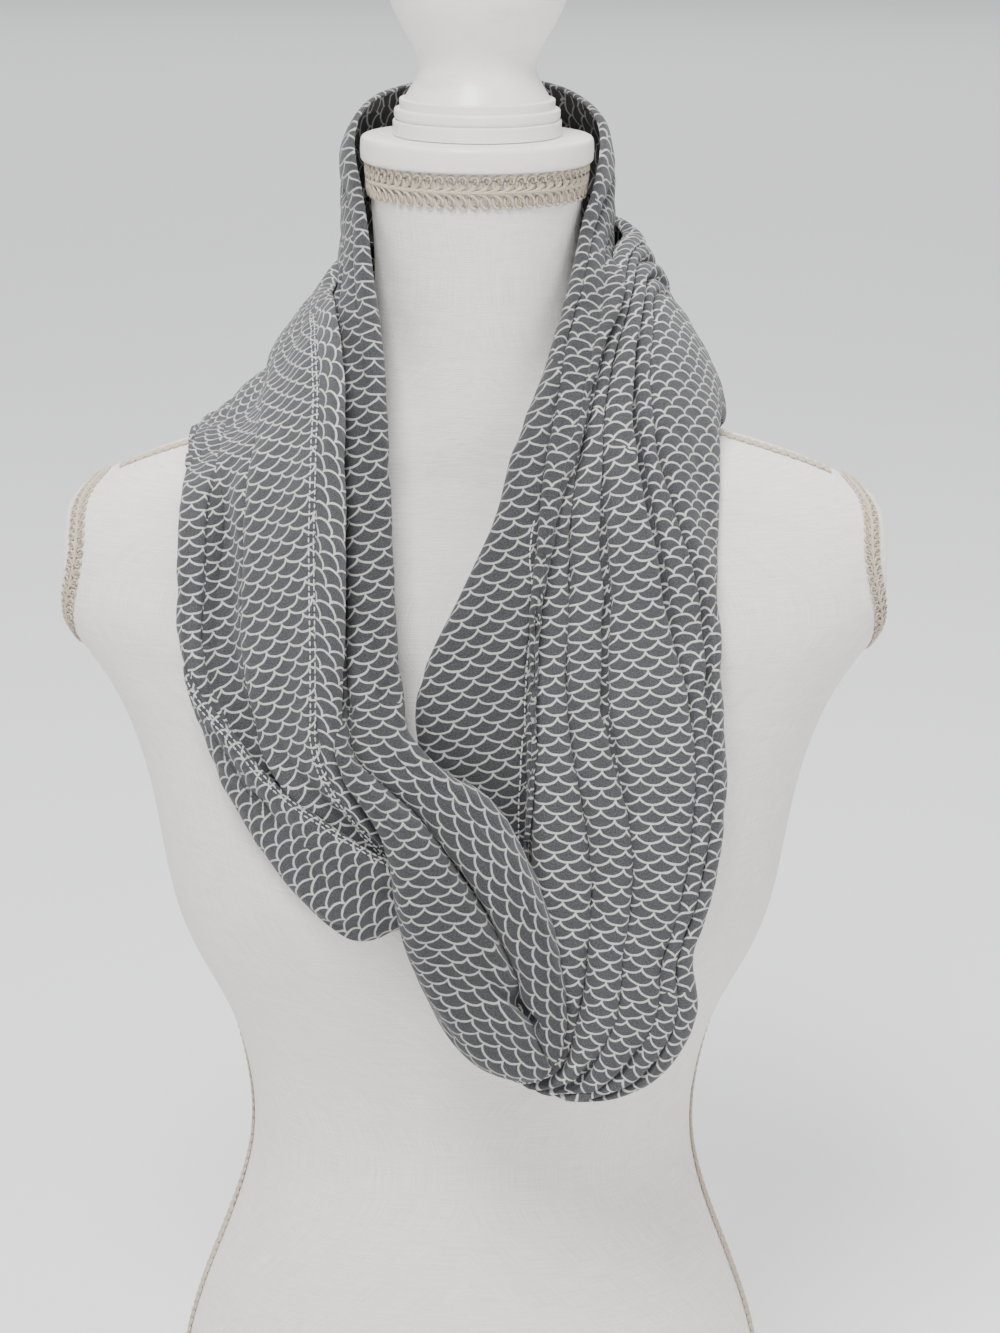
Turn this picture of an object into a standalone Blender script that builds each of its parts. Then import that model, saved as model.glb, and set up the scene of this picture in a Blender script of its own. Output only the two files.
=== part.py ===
"""An infinity scarf wound twice round the neck of a limbless dress form.

The scarf is one long loop of printed cloth. It is built as the stretches that show: two falls beside
the neck, two outer falls over the shoulders, the band round the nape, the drape across the back, a swag
under the left fall, the roll that crosses in front and the turn at its foot. Each is a thin wall swept
through a short table of sections. The dress form is a covered torso on a flat base, with a turned neck
cap and finial and a braid along its neck, shoulders, armholes and sides.

Metres, +Z up, front towards -Y, origin at the middle of the base. Tables are in millimetres.
"""

import math

import bmesh
import bpy
import numpy as np
from mathutils import Vector
from mathutils.bvhtree import BVHTree

MM = 0.001
GAP = 0.3  # between pieces that meet

# Cloth
WALL = 1.8  # wall of a stretch: the cloth is a tube, so two layers lie together
CLEAR = 0.5  # least air between a stretch and what it lies on
REACH = 10.0  # how far above a layer the cloth looks for what it lies on
LIFT_PASSES = 12  # how far the lift of a layer fades out, in sections
ALONG_STEP = 15.0  # spacing of the sections along a stretch

# Dress form
NECK_TOP = 661.0
CAP_RADIUS = 53.4
CAP_THICKNESS = 11.5
CAP_EDGE = 1.6
BRAID_THICKNESS = 2.0
BRAID_AIR = 0.4  # least air under the flat braids
BRAID_WIDTH = 9.0
NECK_BRAID_HEIGHT = 17.0
BUST_OUT, BUST_SIDE, BUST_HEIGHT = 24.0, 70.0, 348.0
BUST_SPREAD_X, BUST_SPREAD_Z = 44.0, 50.0
PLATE_SIDE, PLATE_DOME = 190.5, 0.15  # armhole plates: how far out they stand, how much they swell
ARMHOLE_HEIGHT, ARMHOLE_BACK = 473.5, 6.0
ARMHOLE_HALF_HEIGHT, ARMHOLE_HALF_DEPTH = 37.5, 50.5

# Torso sections: height, half width, depth in front, depth behind, squareness (2 is an ellipse)
TORSO = [
    (0.0, 147.0, 98.0, 112.0, 2.25),
    (60.0, 145.5, 97.0, 110.0, 2.25),
    (110.0, 131.0, 92.0, 96.0, 2.2),
    (180.0, 109.5, 84.0, 72.0, 2.15),
    (220.0, 112.0, 87.0, 72.0, 2.15),
    (256.0, 122.5, 95.0, 78.0, 2.2),
    (293.0, 140.0, 105.0, 88.0, 2.25),
    (345.0, 151.5, 112.0, 100.0, 2.3),
    (400.0, 165.0, 105.0, 110.0, 2.35),
    (424.0, 177.0, 99.0, 112.0, 2.4),
    (441.0, 189.0, 94.0, 112.0, 2.45),
    (457.0, 199.0, 89.0, 110.0, 2.5),
    (474.0, 204.0, 82.0, 106.0, 2.5),
    (491.0, 199.0, 75.0, 99.0, 2.5),
    (504.0, 188.5, 69.0, 91.0, 2.45),
    (514.0, 172.0, 65.0, 85.0, 2.4),
    (523.0, 150.0, 61.0, 78.0, 2.35),
    (530.0, 128.0, 58.5, 73.0, 2.3),
    (538.0, 102.0, 56.0, 67.0, 2.2),
    (549.0, 75.0, 53.0, 60.0, 2.1),
    (566.0, 56.0, 49.5, 53.0, 2.0),
    (595.0, 47.5, 47.0, 48.5, 2.0),
    (630.0, 47.5, 47.5, 47.5, 2.0),
    (NECK_TOP, 50.0, 50.0, 50.0, 2.0),
]

# Finial turned on the neck cap: radius, height above the cap
FINIAL = [
    (38.4, 0.3),
    (38.4, 6.4),
    (37.4, 7.2),
    (37.6, 7.8),
    (37.6, 11.6),
    (35.6, 12.6),
    (35.4, 15.8),
    (33.4, 16.8),
    (29.4, 23.0),
    (26.8, 31.0),
    (28.4, 38.0),
    (33.0, 46.0),
    (39.0, 58.0),
    (42.6, 72.0),
    (41.6, 86.0),
    (35.0, 99.0),
    (23.0, 108.0),
    (8.0, 112.5),
]

# A turn of the scarf is a row of stretches that share their end sections. Each section gives the inner
# edge, the outer edge, how far the cloth stands off the line between them, and where each pleat line
# crosses it, from 0 at the inner edge to 1 at the outer edge. A pleat is given by the share of that
# stand-off which it loses and by how wide the cloth rounds off before and after it; panels are the
# heights between the pleats, and rims how wide the cloth rounds off at the two edges.
RIGHT_NECK_FALL = {
    "sections": [
        # inner x, y, z; outer x, y, z; puff; soft turn, second line
        (-19, -113, 400, 28, -118, 362, 5, 0.90, 0.97),
        (-25, -115, 430, 28, -119, 392, 6, 0.90, 0.97),
        (-19, -112, 457, 28, -116, 424, 7, 0.88, 0.97),
        (-5, -106, 484, 29, -112, 458, 8, 0.84, 0.96),
        (9, -96, 517, 34, -104, 500, 8, 0.72, 0.94),
        (18, -82, 546, 41, -92, 531, 8, 0.55, 0.90),
        (27, -68, 568, 48, -78, 552, 8, 0.42, 0.86),
        (36, -52, 593, 53, -60, 575, 6, 0.26, 0.80),
        (42, -34, 617, 57, -37, 594, 5, 0.24, 0.72),
        (48, -12, 646, 60, -4, 610, 4, 0.28, 0.68),
    ],
    "pleats": [(0.45, 7.0, 4.0), (0.0, 4.0, 4.0)],
    "panels": [1.0, 1.0, 1.0],
    "rims": (9.0, 6.0),
}

NAPE_BAND = {
    "sections": [
        # inner (upper) x, y, z; outer (lower) x, y, z; puff; two pleats
        (48, -12, 646, 60, -4, 610, 4, 0.28, 0.68),
        (54, 10, 669, 62, 22, 608, 4, 0.32, 0.67),
        (47, 36, 685, 54, 50, 612, 5, 0.34, 0.66),
        (26, 54, 692, 31, 68, 616, 6, 0.35, 0.66),
        (0, 61, 694, 0, 76, 617, 6, 0.36, 0.66),
        (-26, 54, 691, -31, 68, 616, 6, 0.35, 0.66),
        (-47, 36, 684, -54, 50, 612, 5, 0.34, 0.67),
        (-54, 10, 668, -62, 22, 607, 4, 0.32, 0.70),
        (-49, -12, 648, -61, -2, 610, 4, 0.30, 0.76),
    ],
    "pleats": [(0.4, 6.0, 8.0), (0.45, 7.0, 6.0)],
    "panels": [1.0, 1.15, 0.95],
    "rims": (6.0, 6.0),
}

LEFT_NECK_FALL = {
    "sections": [
        # inner x, y, z; outer x, y, z; puff; crease, pleat beside the seam
        (-49, -12, 648, -61, -2, 610, 4, 0.30, 0.76),
        (-46, -33, 622, -62, -20, 594, 5, 0.30, 0.79),
        (-42, -53, 594, -62, -42, 578, 6, 0.30, 0.79),
        (-39, -71, 565, -62, -62, 556, 6, 0.30, 0.78),
        (-37, -86, 532, -62, -79, 528, 6, 0.30, 0.78),
        (-35, -99, 500, -62, -93, 496, 6, 0.30, 0.78),
        (-33, -112, 468, -61, -107, 464, 7, 0.30, 0.78),
        (-30, -122, 440, -59, -121, 436, 8, 0.28, 0.80),
    ],
    "pleats": [(0.1, 6.0, 6.0), (0.65, 5.0, 3.5)],
    "panels": [0.9, 1.0, 0.9],
    "rims": (5.0, 4.5),
}

FRONT_CROSSING = {
    "sections": [
        # inner (upper) x, y, z; outer (lower) x, y, z; puff; crease, groove between the two rolls
        (-30, -122, 440, -59, -121, 436, 8, 0.28, 0.80),
        (-27, -128, 427, -58, -128, 417, 9, 0.26, 0.77),
        (-12, -133, 413, -51, -134, 402, 11, 0.22, 0.66),
        (6, -137, 403, -39, -138, 385, 14, 0.18, 0.60),
        (20, -139, 385, -34, -140, 359, 16, 0.14, 0.48),
        (31, -140, 363, -29, -140, 336, 17, 0.12, 0.40),
        (38, -140, 340, -19, -140, 309, 17, 0.12, 0.36),
        (42, -139, 318, -5, -139, 285, 15, 0.12, 0.36),
        (43, -139, 300, 13, -140, 272, 11, 0.14, 0.40),
        (41, -139, 285, 30, -140, 269, 7, 0.16, 0.44),
    ],
    "pleats": [(0.15, 6.0, 8.0), (0.75, 10.0, 7.0)],
    "panels": [0.8, 0.95, 1.05],
    "rims": (7.0, 11.0),
}

LEFT_OUTER_FALL = {
    "sections": [
        # inner (seamed) x, y, z; outer x, y, z; puff; seam line, fold, crease, outer line
        (-20, -128, 361, -36, -124, 364, 4, 0.15, 0.62, 0.78, 0.90),
        (-31, -132, 371, -54, -124, 374, 4, 0.14, 0.66, 0.80, 0.90),
        (-44, -134, 387, -76, -118, 386, 5, 0.12, 0.70, 0.84, 0.93),
        (-55, -133, 405, -98, -109, 402, 7, 0.11, 0.66, 0.84, 0.94),
        (-61, -131, 424, -116, -97, 427, 8, 0.10, 0.62, 0.84, 0.94),
        (-61, -128, 450, -126, -88, 450, 9, 0.09, 0.60, 0.84, 0.94),
        (-60, -121, 480, -129, -74, 470, 10, 0.08, 0.58, 0.82, 0.92),
        (-60, -110, 512, -129, -63, 495, 10, 0.08, 0.57, 0.80, 0.91),
        (-61, -95, 543, -130, -50, 517, 8, 0.08, 0.56, 0.79, 0.90),
        (-62, -74, 572, -131, -29, 529, 5, 0.08, 0.54, 0.78, 0.89),
        (-64, -45, 593, -132, -10, 532, 4, 0.08, 0.52, 0.77, 0.88),
        (-66, -14, 601, -132, 4, 534, 4, 0.10, 0.50, 0.76, 0.87),
    ],
    "pleats": [(0.25, 3.0, 4.0), (0.75, 9.0, 5.0), (0.55, 6.0, 7.0), (0.0, 5.0, 5.0)],
    "panels": [0.8, 1.0, 0.5, 0.95, 0.95],
    "rims": (3.0, 11.0),
}

BACK_DRAPE = {
    "sections": [
        # inner (upper) x, y, z; outer (lower) x, y, z; puff; four pleats
        (-66, -14, 601, -132, 4, 534, 4, 0.10, 0.50, 0.76, 0.87),
        (-68, 20, 598, -130, 38, 525, 7, 0.14, 0.48, 0.74, 0.86),
        (-60, 56, 608, -108, 82, 504, 8, 0.18, 0.44, 0.70, 0.85),
        (-35, 80, 630, -62, 97, 492, 9, 0.20, 0.42, 0.68, 0.84),
        (0, 90, 640, -2, 102, 488, 10, 0.20, 0.42, 0.66, 0.83),
        (35, 80, 636, 60, 97, 494, 9, 0.20, 0.40, 0.64, 0.82),
        (60, 58, 628, 98, 82, 506, 10, 0.18, 0.36, 0.58, 0.80),
        (72, 28, 622, 113, 42, 528, 11, 0.12, 0.24, 0.42, 0.68),
        (70, 0, 618, 112, 4, 542, 12, 0.09, 0.18, 0.30, 0.46),
    ],
    "pleats": [(0.15, 7.0, 7.0), (0.35, 9.0, 9.0), (0.3, 8.0, 9.0), (0.2, 7.0, 8.0)],
    "panels": [0.85, 1.0, 1.1, 1.0, 0.95],
    "rims": (10.0, 50.0),
}

RIGHT_OUTER_FALL = {
    "sections": [
        # inner x, y, z; outer x, y, z; puff; four pleats
        (70, 0, 618, 112, 4, 542, 12, 0.09, 0.18, 0.30, 0.46),
        (67, -26, 607, 111, -20, 538, 12, 0.10, 0.20, 0.32, 0.48),
        (60, -45, 591, 110, -39, 530, 12, 0.12, 0.24, 0.39, 0.56),
        (51, -62, 571, 109, -56, 515, 12, 0.14, 0.28, 0.46, 0.66),
        (42, -76, 548, 109, -69, 496, 12, 0.14, 0.31, 0.54, 0.78),
        (34, -89, 524, 109, -79, 477, 12, 0.15, 0.34, 0.62, 0.86),
        (30, -101, 494, 110, -87, 456, 11, 0.16, 0.34, 0.70, 0.90),
        (29, -112, 464, 111, -97, 437, 11, 0.16, 0.33, 0.78, 0.91),
        (29, -120, 440, 112, -103, 421, 12, 0.16, 0.33, 0.82, 0.92),
    ],
    "pleats": [(0.6, 4.0, 4.0), (0.5, 5.0, 6.0), (0.65, 8.0, 5.0), (0.5, 5.0, 5.0)],
    "panels": [0.75, 0.85, 1.0, 0.8, 0.95],
    "rims": (6.0, 30.0),
}

BOTTOM_TURN = {
    "sections": [
        # inner x, y, z; outer x, y, z; puff; four pleats
        (29, -120, 440, 112, -103, 421, 12, 0.16, 0.33, 0.82, 0.92),
        (30, -127, 415, 113, -110, 402, 12, 0.18, 0.38, 0.83, 0.92),
        (31, -132, 391, 112, -117, 381, 12, 0.24, 0.46, 0.82, 0.92),
        (34, -135, 368, 109, -123, 361, 12, 0.27, 0.48, 0.81, 0.91),
        (36, -137, 349, 104, -127, 340, 12, 0.30, 0.49, 0.80, 0.90),
        (37, -138, 328, 99, -130, 322, 12, 0.31, 0.49, 0.78, 0.88),
        (36, -138, 309, 102, -132, 304, 12, 0.27, 0.46, 0.72, 0.86),
        (34, -138, 291, 97, -132, 284, 11, 0.24, 0.42, 0.68, 0.84),
        (29, -138, 278, 84, -132, 267, 10, 0.22, 0.40, 0.64, 0.82),
        (22, -137, 272, 61, -133, 258, 8, 0.22, 0.40, 0.62, 0.80),
        (15, -135, 272, 38, -133, 265, 5, 0.22, 0.40, 0.60, 0.80),
    ],
    "pleats": [(0.7, 5.0, 5.0), (0.45, 7.0, 6.0), (0.45, 8.0, 6.0), (0.5, 5.0, 5.0)],
    "panels": [0.7, 0.95, 1.0, 0.9, 0.85],
    "rims": (5.0, 10.0),
}

LEFT_SWAG = {
    "sections": [
        # inner (hemmed, upper) x, y, z; outer (lower) x, y, z; puff; pleat
        (-121, -95, 450, -126, -88, 444, 3, 0.40),
        (-117, -101, 442, -123, -90, 432, 5, 0.42),
        (-106, -109, 427, -117, -95, 413, 6, 0.42),
        (-91, -118, 408, -108, -104, 393, 7, 0.42),
        (-76, -127, 396, -96, -114, 376, 8, 0.40),
        (-61, -132, 387, -82, -124, 358, 8, 0.38),
        (-46, -134, 378, -65, -131, 341, 8, 0.36),
        (-32, -133, 370, -48, -131, 333, 8, 0.36),
        (-20, -130, 362, -28, -129, 339, 6, 0.36),
        (-12, -127, 357, -15, -127, 345, 4, 0.38),
    ],
    "pleats": [(0.25, 9.0, 9.0)],
    "panels": [0.85, 1.0],
    "rims": (4.0, 9.0),
}

# The turns: the stretches of each, end to end, and the columns of its grid in each panel
TURNS = {
    "neck_turn": (("right_neck_fall", "nape_band", "left_neck_fall", "front_crossing"), 4),
    "outer_turn": (("left_outer_fall", "back_drape", "right_outer_fall", "bottom_turn"), 3),
    "swag": (("left_swag",), 5),
}
STRETCHES = {
    "right_neck_fall": RIGHT_NECK_FALL,
    "nape_band": NAPE_BAND,
    "left_neck_fall": LEFT_NECK_FALL,
    "front_crossing": FRONT_CROSSING,
    "left_outer_fall": LEFT_OUTER_FALL,
    "back_drape": BACK_DRAPE,
    "right_outer_fall": RIGHT_OUTER_FALL,
    "bottom_turn": BOTTOM_TURN,
    "left_swag": LEFT_SWAG,
}

# From the lowest layer up: a stretch, and the stretches that it lies on
LAYERS = {
    "nape_band": (),
    "left_neck_fall": (),
    "back_drape": ("nape_band",),
    "left_outer_fall": ("left_neck_fall", "nape_band"),
    "left_swag": ("left_outer_fall",),
    "right_outer_fall": ("nape_band",),
    "bottom_turn": (),
    "right_neck_fall": ("right_outer_fall", "bottom_turn"),
    "front_crossing": ("left_swag", "left_outer_fall", "right_neck_fall", "bottom_turn"),
}

# Material: base colour, roughness, metallic
MATERIALS = {
    "scarf_cloth": ((0.105, 0.108, 0.115), 0.85, 0.0),
    "form_linen": ((0.72, 0.69, 0.64), 0.9, 0.0),
    "form_braid": ((0.62, 0.55, 0.45), 0.8, 0.0),
    "painted_wood": ((0.80, 0.77, 0.71), 0.45, 0.0),
}


def spline(knots, values, at):
    """Natural cubic spline through rows of values, read at the given parameters."""
    knots, values = np.asarray(knots, float), np.asarray(values, float)
    step = np.diff(knots)
    slope = np.diff(values, axis=0) / step[:, None]
    count = len(knots)
    system, right = np.eye(count), np.zeros_like(values)
    for i in range(1, count - 1):
        system[i, i - 1 : i + 2] = step[i - 1], 2 * (step[i - 1] + step[i]), step[i]
        right[i] = 6 * (slope[i] - slope[i - 1])
    bend = np.linalg.solve(system, right)
    i = np.clip(np.searchsorted(knots, at, side="right") - 1, 0, count - 2)
    h, left, rest = step[i][:, None], (at - knots[i])[:, None], (knots[i + 1] - at)[:, None]
    return (
        (bend[i] * rest**3 + bend[i + 1] * left**3) / (6 * h)
        + (values[i] / h - bend[i] * h / 6) * rest
        + (values[i + 1] / h - bend[i + 1] * h / 6) * left
    )


def signed_power(base, power):
    return math.copysign(abs(base) ** power, base)


def torso_point(angle, height):
    """Point of the torso's surface; angle 0 is the front and a quarter turn is the wearer's left."""
    rows = np.array(TORSO)
    width, front, behind, square = spline(rows[:, 0], rows[:, 1:], np.array([height]))[0]
    x = width * signed_power(math.sin(angle), 2 / square)
    if abs(x) > PLATE_SIDE:
        x = math.copysign(PLATE_SIDE + (abs(x) - PLATE_SIDE) * PLATE_DOME, x)
    depth = front if math.cos(angle) > 0 else behind
    y = -depth * signed_power(math.cos(angle), 2 / square)
    if y < 0:
        side = math.exp(-(((abs(x) - BUST_SIDE) / BUST_SPREAD_X) ** 2))
        y -= BUST_OUT * side * math.exp(-(((height - BUST_HEIGHT) / BUST_SPREAD_Z) ** 2))
    return np.array((x, y, height))


def new_object(name, points, faces, material, smooth_angle=40.0):
    """An object from points in millimetres and faces, with smooth shading but for sharp corners."""
    mesh = bpy.data.meshes.new(name)
    mesh.from_pydata([Vector(p) * MM for p in points], [], faces)
    shape = bmesh.new()
    shape.from_mesh(mesh)
    bmesh.ops.triangulate(shape, faces=shape.faces)
    bmesh.ops.recalc_face_normals(shape, faces=shape.faces)
    shape.to_mesh(mesh)
    shape.free()
    mesh.shade_smooth()
    mesh.set_sharp_from_angle(angle=math.radians(smooth_angle))
    mesh.materials.append(finish(material))
    made = bpy.data.objects.new(name, mesh)
    bpy.context.scene.collection.objects.link(made)
    return made


def finish(name):
    """The material of that name, made once."""
    if name in bpy.data.materials:
        return bpy.data.materials[name]
    colour, roughness, metallic = MATERIALS[name]
    made = bpy.data.materials.new(name)
    made.use_nodes = True
    shader = made.node_tree.nodes["Principled BSDF"]
    shader.inputs["Base Color"].default_value = (*colour, 1.0)
    shader.inputs["Roughness"].default_value = roughness
    shader.inputs["Metallic"].default_value = metallic
    return made


def stack_of_rings(rings, closed=False):
    """Points and faces that skin a list of equal rings, with flat ends or joined end to end."""
    count, size = len(rings), len(rings[0])
    points = [p for ring in rings for p in ring]
    faces = []
    for i in range(count if closed else count - 1):
        low, high = i * size, (i + 1) % count * size
        for j in range(size):
            k = (j + 1) % size
            faces.append((low + j, low + k, high + k, high + j))
    if not closed:
        faces.append(tuple(reversed(range(size))))
        faces.append(tuple(range((count - 1) * size, count * size)))
    return points, faces


def turned(name, profile, base, material, steps=32):
    """A solid turned round the vertical axis from rows of radius and height."""
    rings = []
    for radius, height in profile:
        turn = [2 * math.pi * i / steps for i in range(steps)]
        rings.append([(radius * math.sin(a), -radius * math.cos(a), base + height) for a in turn])
    return new_object(name, *stack_of_rings(rings), material)


def torso(around=48):
    """The covered body, from its flat base to the top of the neck."""
    heights = [0, 40, 80, 115, 150, 182, 212, 242, 270, 298, 324, 348, 374, 400, 426, 448, 466]
    heights += [482, 496, 507, 516, 523, 530, 538, 548, 560, 580, 620, NECK_TOP]
    rings = []
    for height in heights:
        rings.append([torso_point(2 * math.pi * i / around, height) for i in range(around)])
    return new_object("torso", *stack_of_rings(rings), "form_linen", smooth_angle=60.0)


def ribbon_rings(body, path, width, air, closed):
    """The sections of a flat braid that runs along a path and keeps some air to the body."""
    rings, count = [], len(path)
    for i, point in enumerate(path):
        before = path[(i - 1) % count] if closed or i else path[i]
        after = path[(i + 1) % count] if closed or i < count - 1 else path[i]
        _, normal, _, _ = body.find_nearest(Vector(point) * MM)
        across = (Vector(after) - Vector(before)).cross(normal).normalized() * width / 2
        low, high = [], []
        for side in (-1, 0, 1):
            spot, out, _, _ = body.find_nearest((Vector(point) + across * side) * MM)
            low.append(spot / MM + out * air)
            high.append(spot / MM + out * (air + BRAID_THICKNESS))
        rings.append(low + high[::-1])
    return rings


def ribbon_on(body, name, path, width, closed=False):
    """A flat braid laid on the body, as close to its facets as it goes without cutting them."""
    air = BRAID_AIR
    points, faces = stack_of_rings(ribbon_rings(body, path, width, air, closed), closed)
    while body.overlap(BVHTree.FromPolygons([Vector(p) * MM for p in points], faces)):
        air += BRAID_AIR / 2
        points, _ = stack_of_rings(ribbon_rings(body, path, width, air + BRAID_AIR / 2, closed), closed)
    return new_object(name, points, faces, "form_braid")


def braids(body):
    """The braid round the neck, along both shoulders, round both armholes and down both sides."""
    inner = 50.0 + GAP
    top, low = NECK_TOP - GAP, NECK_TOP - NECK_BRAID_HEIGHT
    section = [(inner, low), (inner + BRAID_THICKNESS, low), (inner + BRAID_THICKNESS, top), (inner, top)]
    rings = []
    for i in range(32):
        turn = 2 * math.pi * i / 32
        rings.append([(r * math.sin(turn), -r * math.cos(turn), z) for r, z in section])
    new_object("neck_braid", *stack_of_rings(rings, closed=True), "form_braid")
    for side, label in ((-1, "left"), (1, "right")):
        shoulder = []
        for i in range(9):
            x = side * (72 + 11.5 * i)
            spot, _, _, _ = body.ray_cast(Vector((x, 4.0, 700.0)) * MM, Vector((0, 0, -1)))
            shoulder.append(spot / MM)
        ribbon_on(body, f"shoulder_braid_{label}", shoulder, BRAID_WIDTH)
        armhole = []
        for i in range(24):
            turn = 2 * math.pi * i / 24
            y = ARMHOLE_BACK + ARMHOLE_HALF_DEPTH * math.sin(turn)
            z = ARMHOLE_HEIGHT + ARMHOLE_HALF_HEIGHT * math.cos(turn)
            spot, _, _, _ = body.ray_cast(Vector((side * 300, y, z)) * MM, Vector((-side, 0, 0)))
            armhole.append(spot / MM)
        ribbon_on(body, f"armhole_braid_{label}", armhole, BRAID_WIDTH, closed=True)
        seam = []
        for i in range(17):
            z = 422.0 - 26.2 * i
            y = 6.0 - 0.05 * (422.0 - z)
            spot, _, _, _ = body.ray_cast(Vector((side * 300, y, z)) * MM, Vector((-side, 0, 0)))
            seam.append(spot / MM)
        ribbon_on(body, f"side_braid_{label}", seam, BRAID_WIDTH)


def rounding(distance, radius):
    """0 at a fold line and 1 from one radius away, as a quarter circle."""
    near = np.clip(distance / np.maximum(radius, 1e-6), 0, 1)
    return np.sqrt(1 - (1 - near) ** 2)


class Turn:
    """One turn of the scarf: a grid of points on its outer face, sections along and columns across."""

    def __init__(self, names, columns):
        rows, styles, places, joints = [], [], [], [0]
        for name in names:
            table = STRETCHES[name]
            rows += table["sections"][1 if rows else 0 :]
            styles.append([*table["rims"], *table["panels"], *sum(table["pleats"], ())])
            places.append((joints[-1] + len(rows) - 1) / 2)
            joints.append(len(rows) - 1)
        rows = np.array(rows, float)
        middle = (rows[:, 0:3] + rows[:, 3:6]) / 2
        reach = np.concatenate([[0], np.cumsum(np.linalg.norm(np.diff(middle, axis=0), axis=1))])
        spots, self.ends = [], [0]
        for first, last in zip(joints, joints[1:]):
            count = max(4, round((reach[last] - reach[first]) / ALONG_STEP))
            spots += list(np.linspace(reach[first], reach[last], count + 1)[:-1])
            self.ends.append(len(spots))
        spots = np.array(spots + [reach[-1]])
        index = np.interp(spots, reach, np.arange(len(rows)))
        self.names, self.pleats = names, len(STRETCHES[names[0]]["pleats"])
        self.shape_grid(spline(reach, rows, spots), self.blended(styles, places, index), columns)
        self.lift = np.zeros(self.flat.shape[:2])
        self.fixed = np.zeros(len(self.flat), bool)

    def blended(self, styles, places, index):
        """The style of every section, passing from one stretch's to the next one's."""
        return np.array([np.interp(index, places, column) for column in np.array(styles, float).T]).T

    def shape_grid(self, rows, style, columns):
        inner, outer, puff = rows[:, 0:3], rows[:, 3:6], rows[:, 6]
        chord = outer - inner
        width = np.linalg.norm(chord, axis=1)
        normal = np.cross(chord, np.gradient((inner + outer) / 2, axis=0))
        normal /= np.linalg.norm(normal, axis=1)[:, None]
        away = ((inner + outer) / 2 - (0, 10, 0)) * (1, 1, 0)
        self.normal = normal * np.sign((normal * away).sum(1).sum())
        lines = np.column_stack([np.zeros(len(rows)), rows[:, 7:], np.ones(len(rows))])
        panels, pleats = style[:, 2 : 3 + self.pleats], style[:, 3 + self.pleats :]
        grid = []
        for k in range(self.pleats + 1):
            start, end, rise = lines[:, k], lines[:, k + 1], puff * panels[:, k]
            half = (end - start) * width / 2
            room = half * (2 if k == 0 else 1), half * (2 if k == self.pleats else 1)
            first = (rise, style[:, 0]) if k == 0 else self.dip(rise, puff, pleats, k - 1, 2)
            last = (rise, style[:, 1]) if k == self.pleats else self.dip(rise, puff, pleats, k, 1)
            for step in range(columns + (k == self.pleats)):
                spot = start + (end - start) * (1 - math.cos(math.pi * step / columns)) / 2
                high = rise - first[0] * (1 - rounding((spot - start) * width, np.minimum(first[1], room[0])))
                high -= last[0] * (1 - rounding((end - spot) * width, np.minimum(last[1], room[1])))
                grid.append(inner + chord * spot[:, None] + self.normal * high[:, None])
        self.flat = np.array(grid).transpose(1, 0, 2)

    def dip(self, rise, puff, pleats, k, side):
        """How far a panel comes down to the pleat line beside it, and over what width."""
        return rise - puff * (1 - pleats[:, 3 * k]), pleats[:, 3 * k + side]

    def part_of(self, name):
        k = self.names.index(name)
        return self.ends[k], self.ends[k + 1] + 1

    def lifted(self):
        return self.flat + self.normal[:, None, :] * self.lift[:, :, None]

    def lay(self, name, solids, sheets):
        """Lifts one stretch off what lies below it and lets the lift fade out round it."""
        first, last = self.part_of(name)
        fine = refined(self.flat[first:last])
        ways = refined(np.repeat(self.normal[first:last, None], self.flat.shape[1], axis=1))
        need = np.zeros(fine.shape[:2])
        for i, j in np.ndindex(need.shape):
            point, way = Vector(fine[i, j]), Vector(ways[i, j]).normalized()
            for tree in solids:
                spot, face, _, _ = tree.find_nearest(point * MM)
                room = (point - spot / MM).dot(face)
                need[i, j] = max(need[i, j], (WALL + CLEAR - room) / max(0.4, way.dot(face)))
            for tree in sheets:
                spot, _, _, far = tree.ray_cast((point + way * REACH) * MM, -way, (REACH + WALL + CLEAR) * MM)
                if spot is not None:
                    need[i, j] = max(need[i, j], REACH + WALL + CLEAR - far / MM)
        wanted = np.zeros_like(self.lift)
        padded = np.pad(need, 1, mode="edge")
        for i, j in np.ndindex(last - first, self.lift.shape[1]):
            wanted[first + i, j] = padded[2 * i : 2 * i + 3, 2 * j : 2 * j + 3].max()
        free = ~self.fixed
        for _ in range(LIFT_PASSES):
            pad = np.pad(self.lift, 1, mode="edge")
            around = (pad[:-2, 1:-1] + pad[2:, 1:-1] + pad[1:-1, :-2] + pad[1:-1, 2:]) / 4
            self.lift[free] = np.maximum(wanted, around)[free]
        self.fixed[first:last] = True
        return sheet_tree(self.lifted()[first:last])

    def walls(self):
        """A closed thin wall for each stretch, a hair apart where they meet."""
        grid = self.lifted()
        normal = np.cross(np.gradient(grid, axis=1), np.gradient(grid, axis=0))
        normal /= np.maximum(np.linalg.norm(normal, axis=2, keepdims=True), 1e-9)
        normal *= np.sign((normal * self.normal[:, None]).sum())
        inside = grid - normal * WALL
        for name in self.names:
            first, last = self.part_of(name)
            face, back = trimmed(grid[first:last]), trimmed(inside[first:last])
            rings = [list(front) + list(rear[::-1]) for front, rear in zip(face, back)]
            new_object(name, *stack_of_rings(rings), "scarf_cloth")


def refined(grid):
    """The grid with points added half way between its neighbours."""
    for axis in (0, 1):
        count = grid.shape[axis]
        grid = np.moveaxis(grid, axis, 0)
        finer = np.zeros((2 * count - 1, *grid.shape[1:]))
        finer[::2] = grid
        finer[1::2] = (grid[:-1] + grid[1:]) / 2
        grid = np.moveaxis(finer, 0, axis)
    return grid


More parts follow.
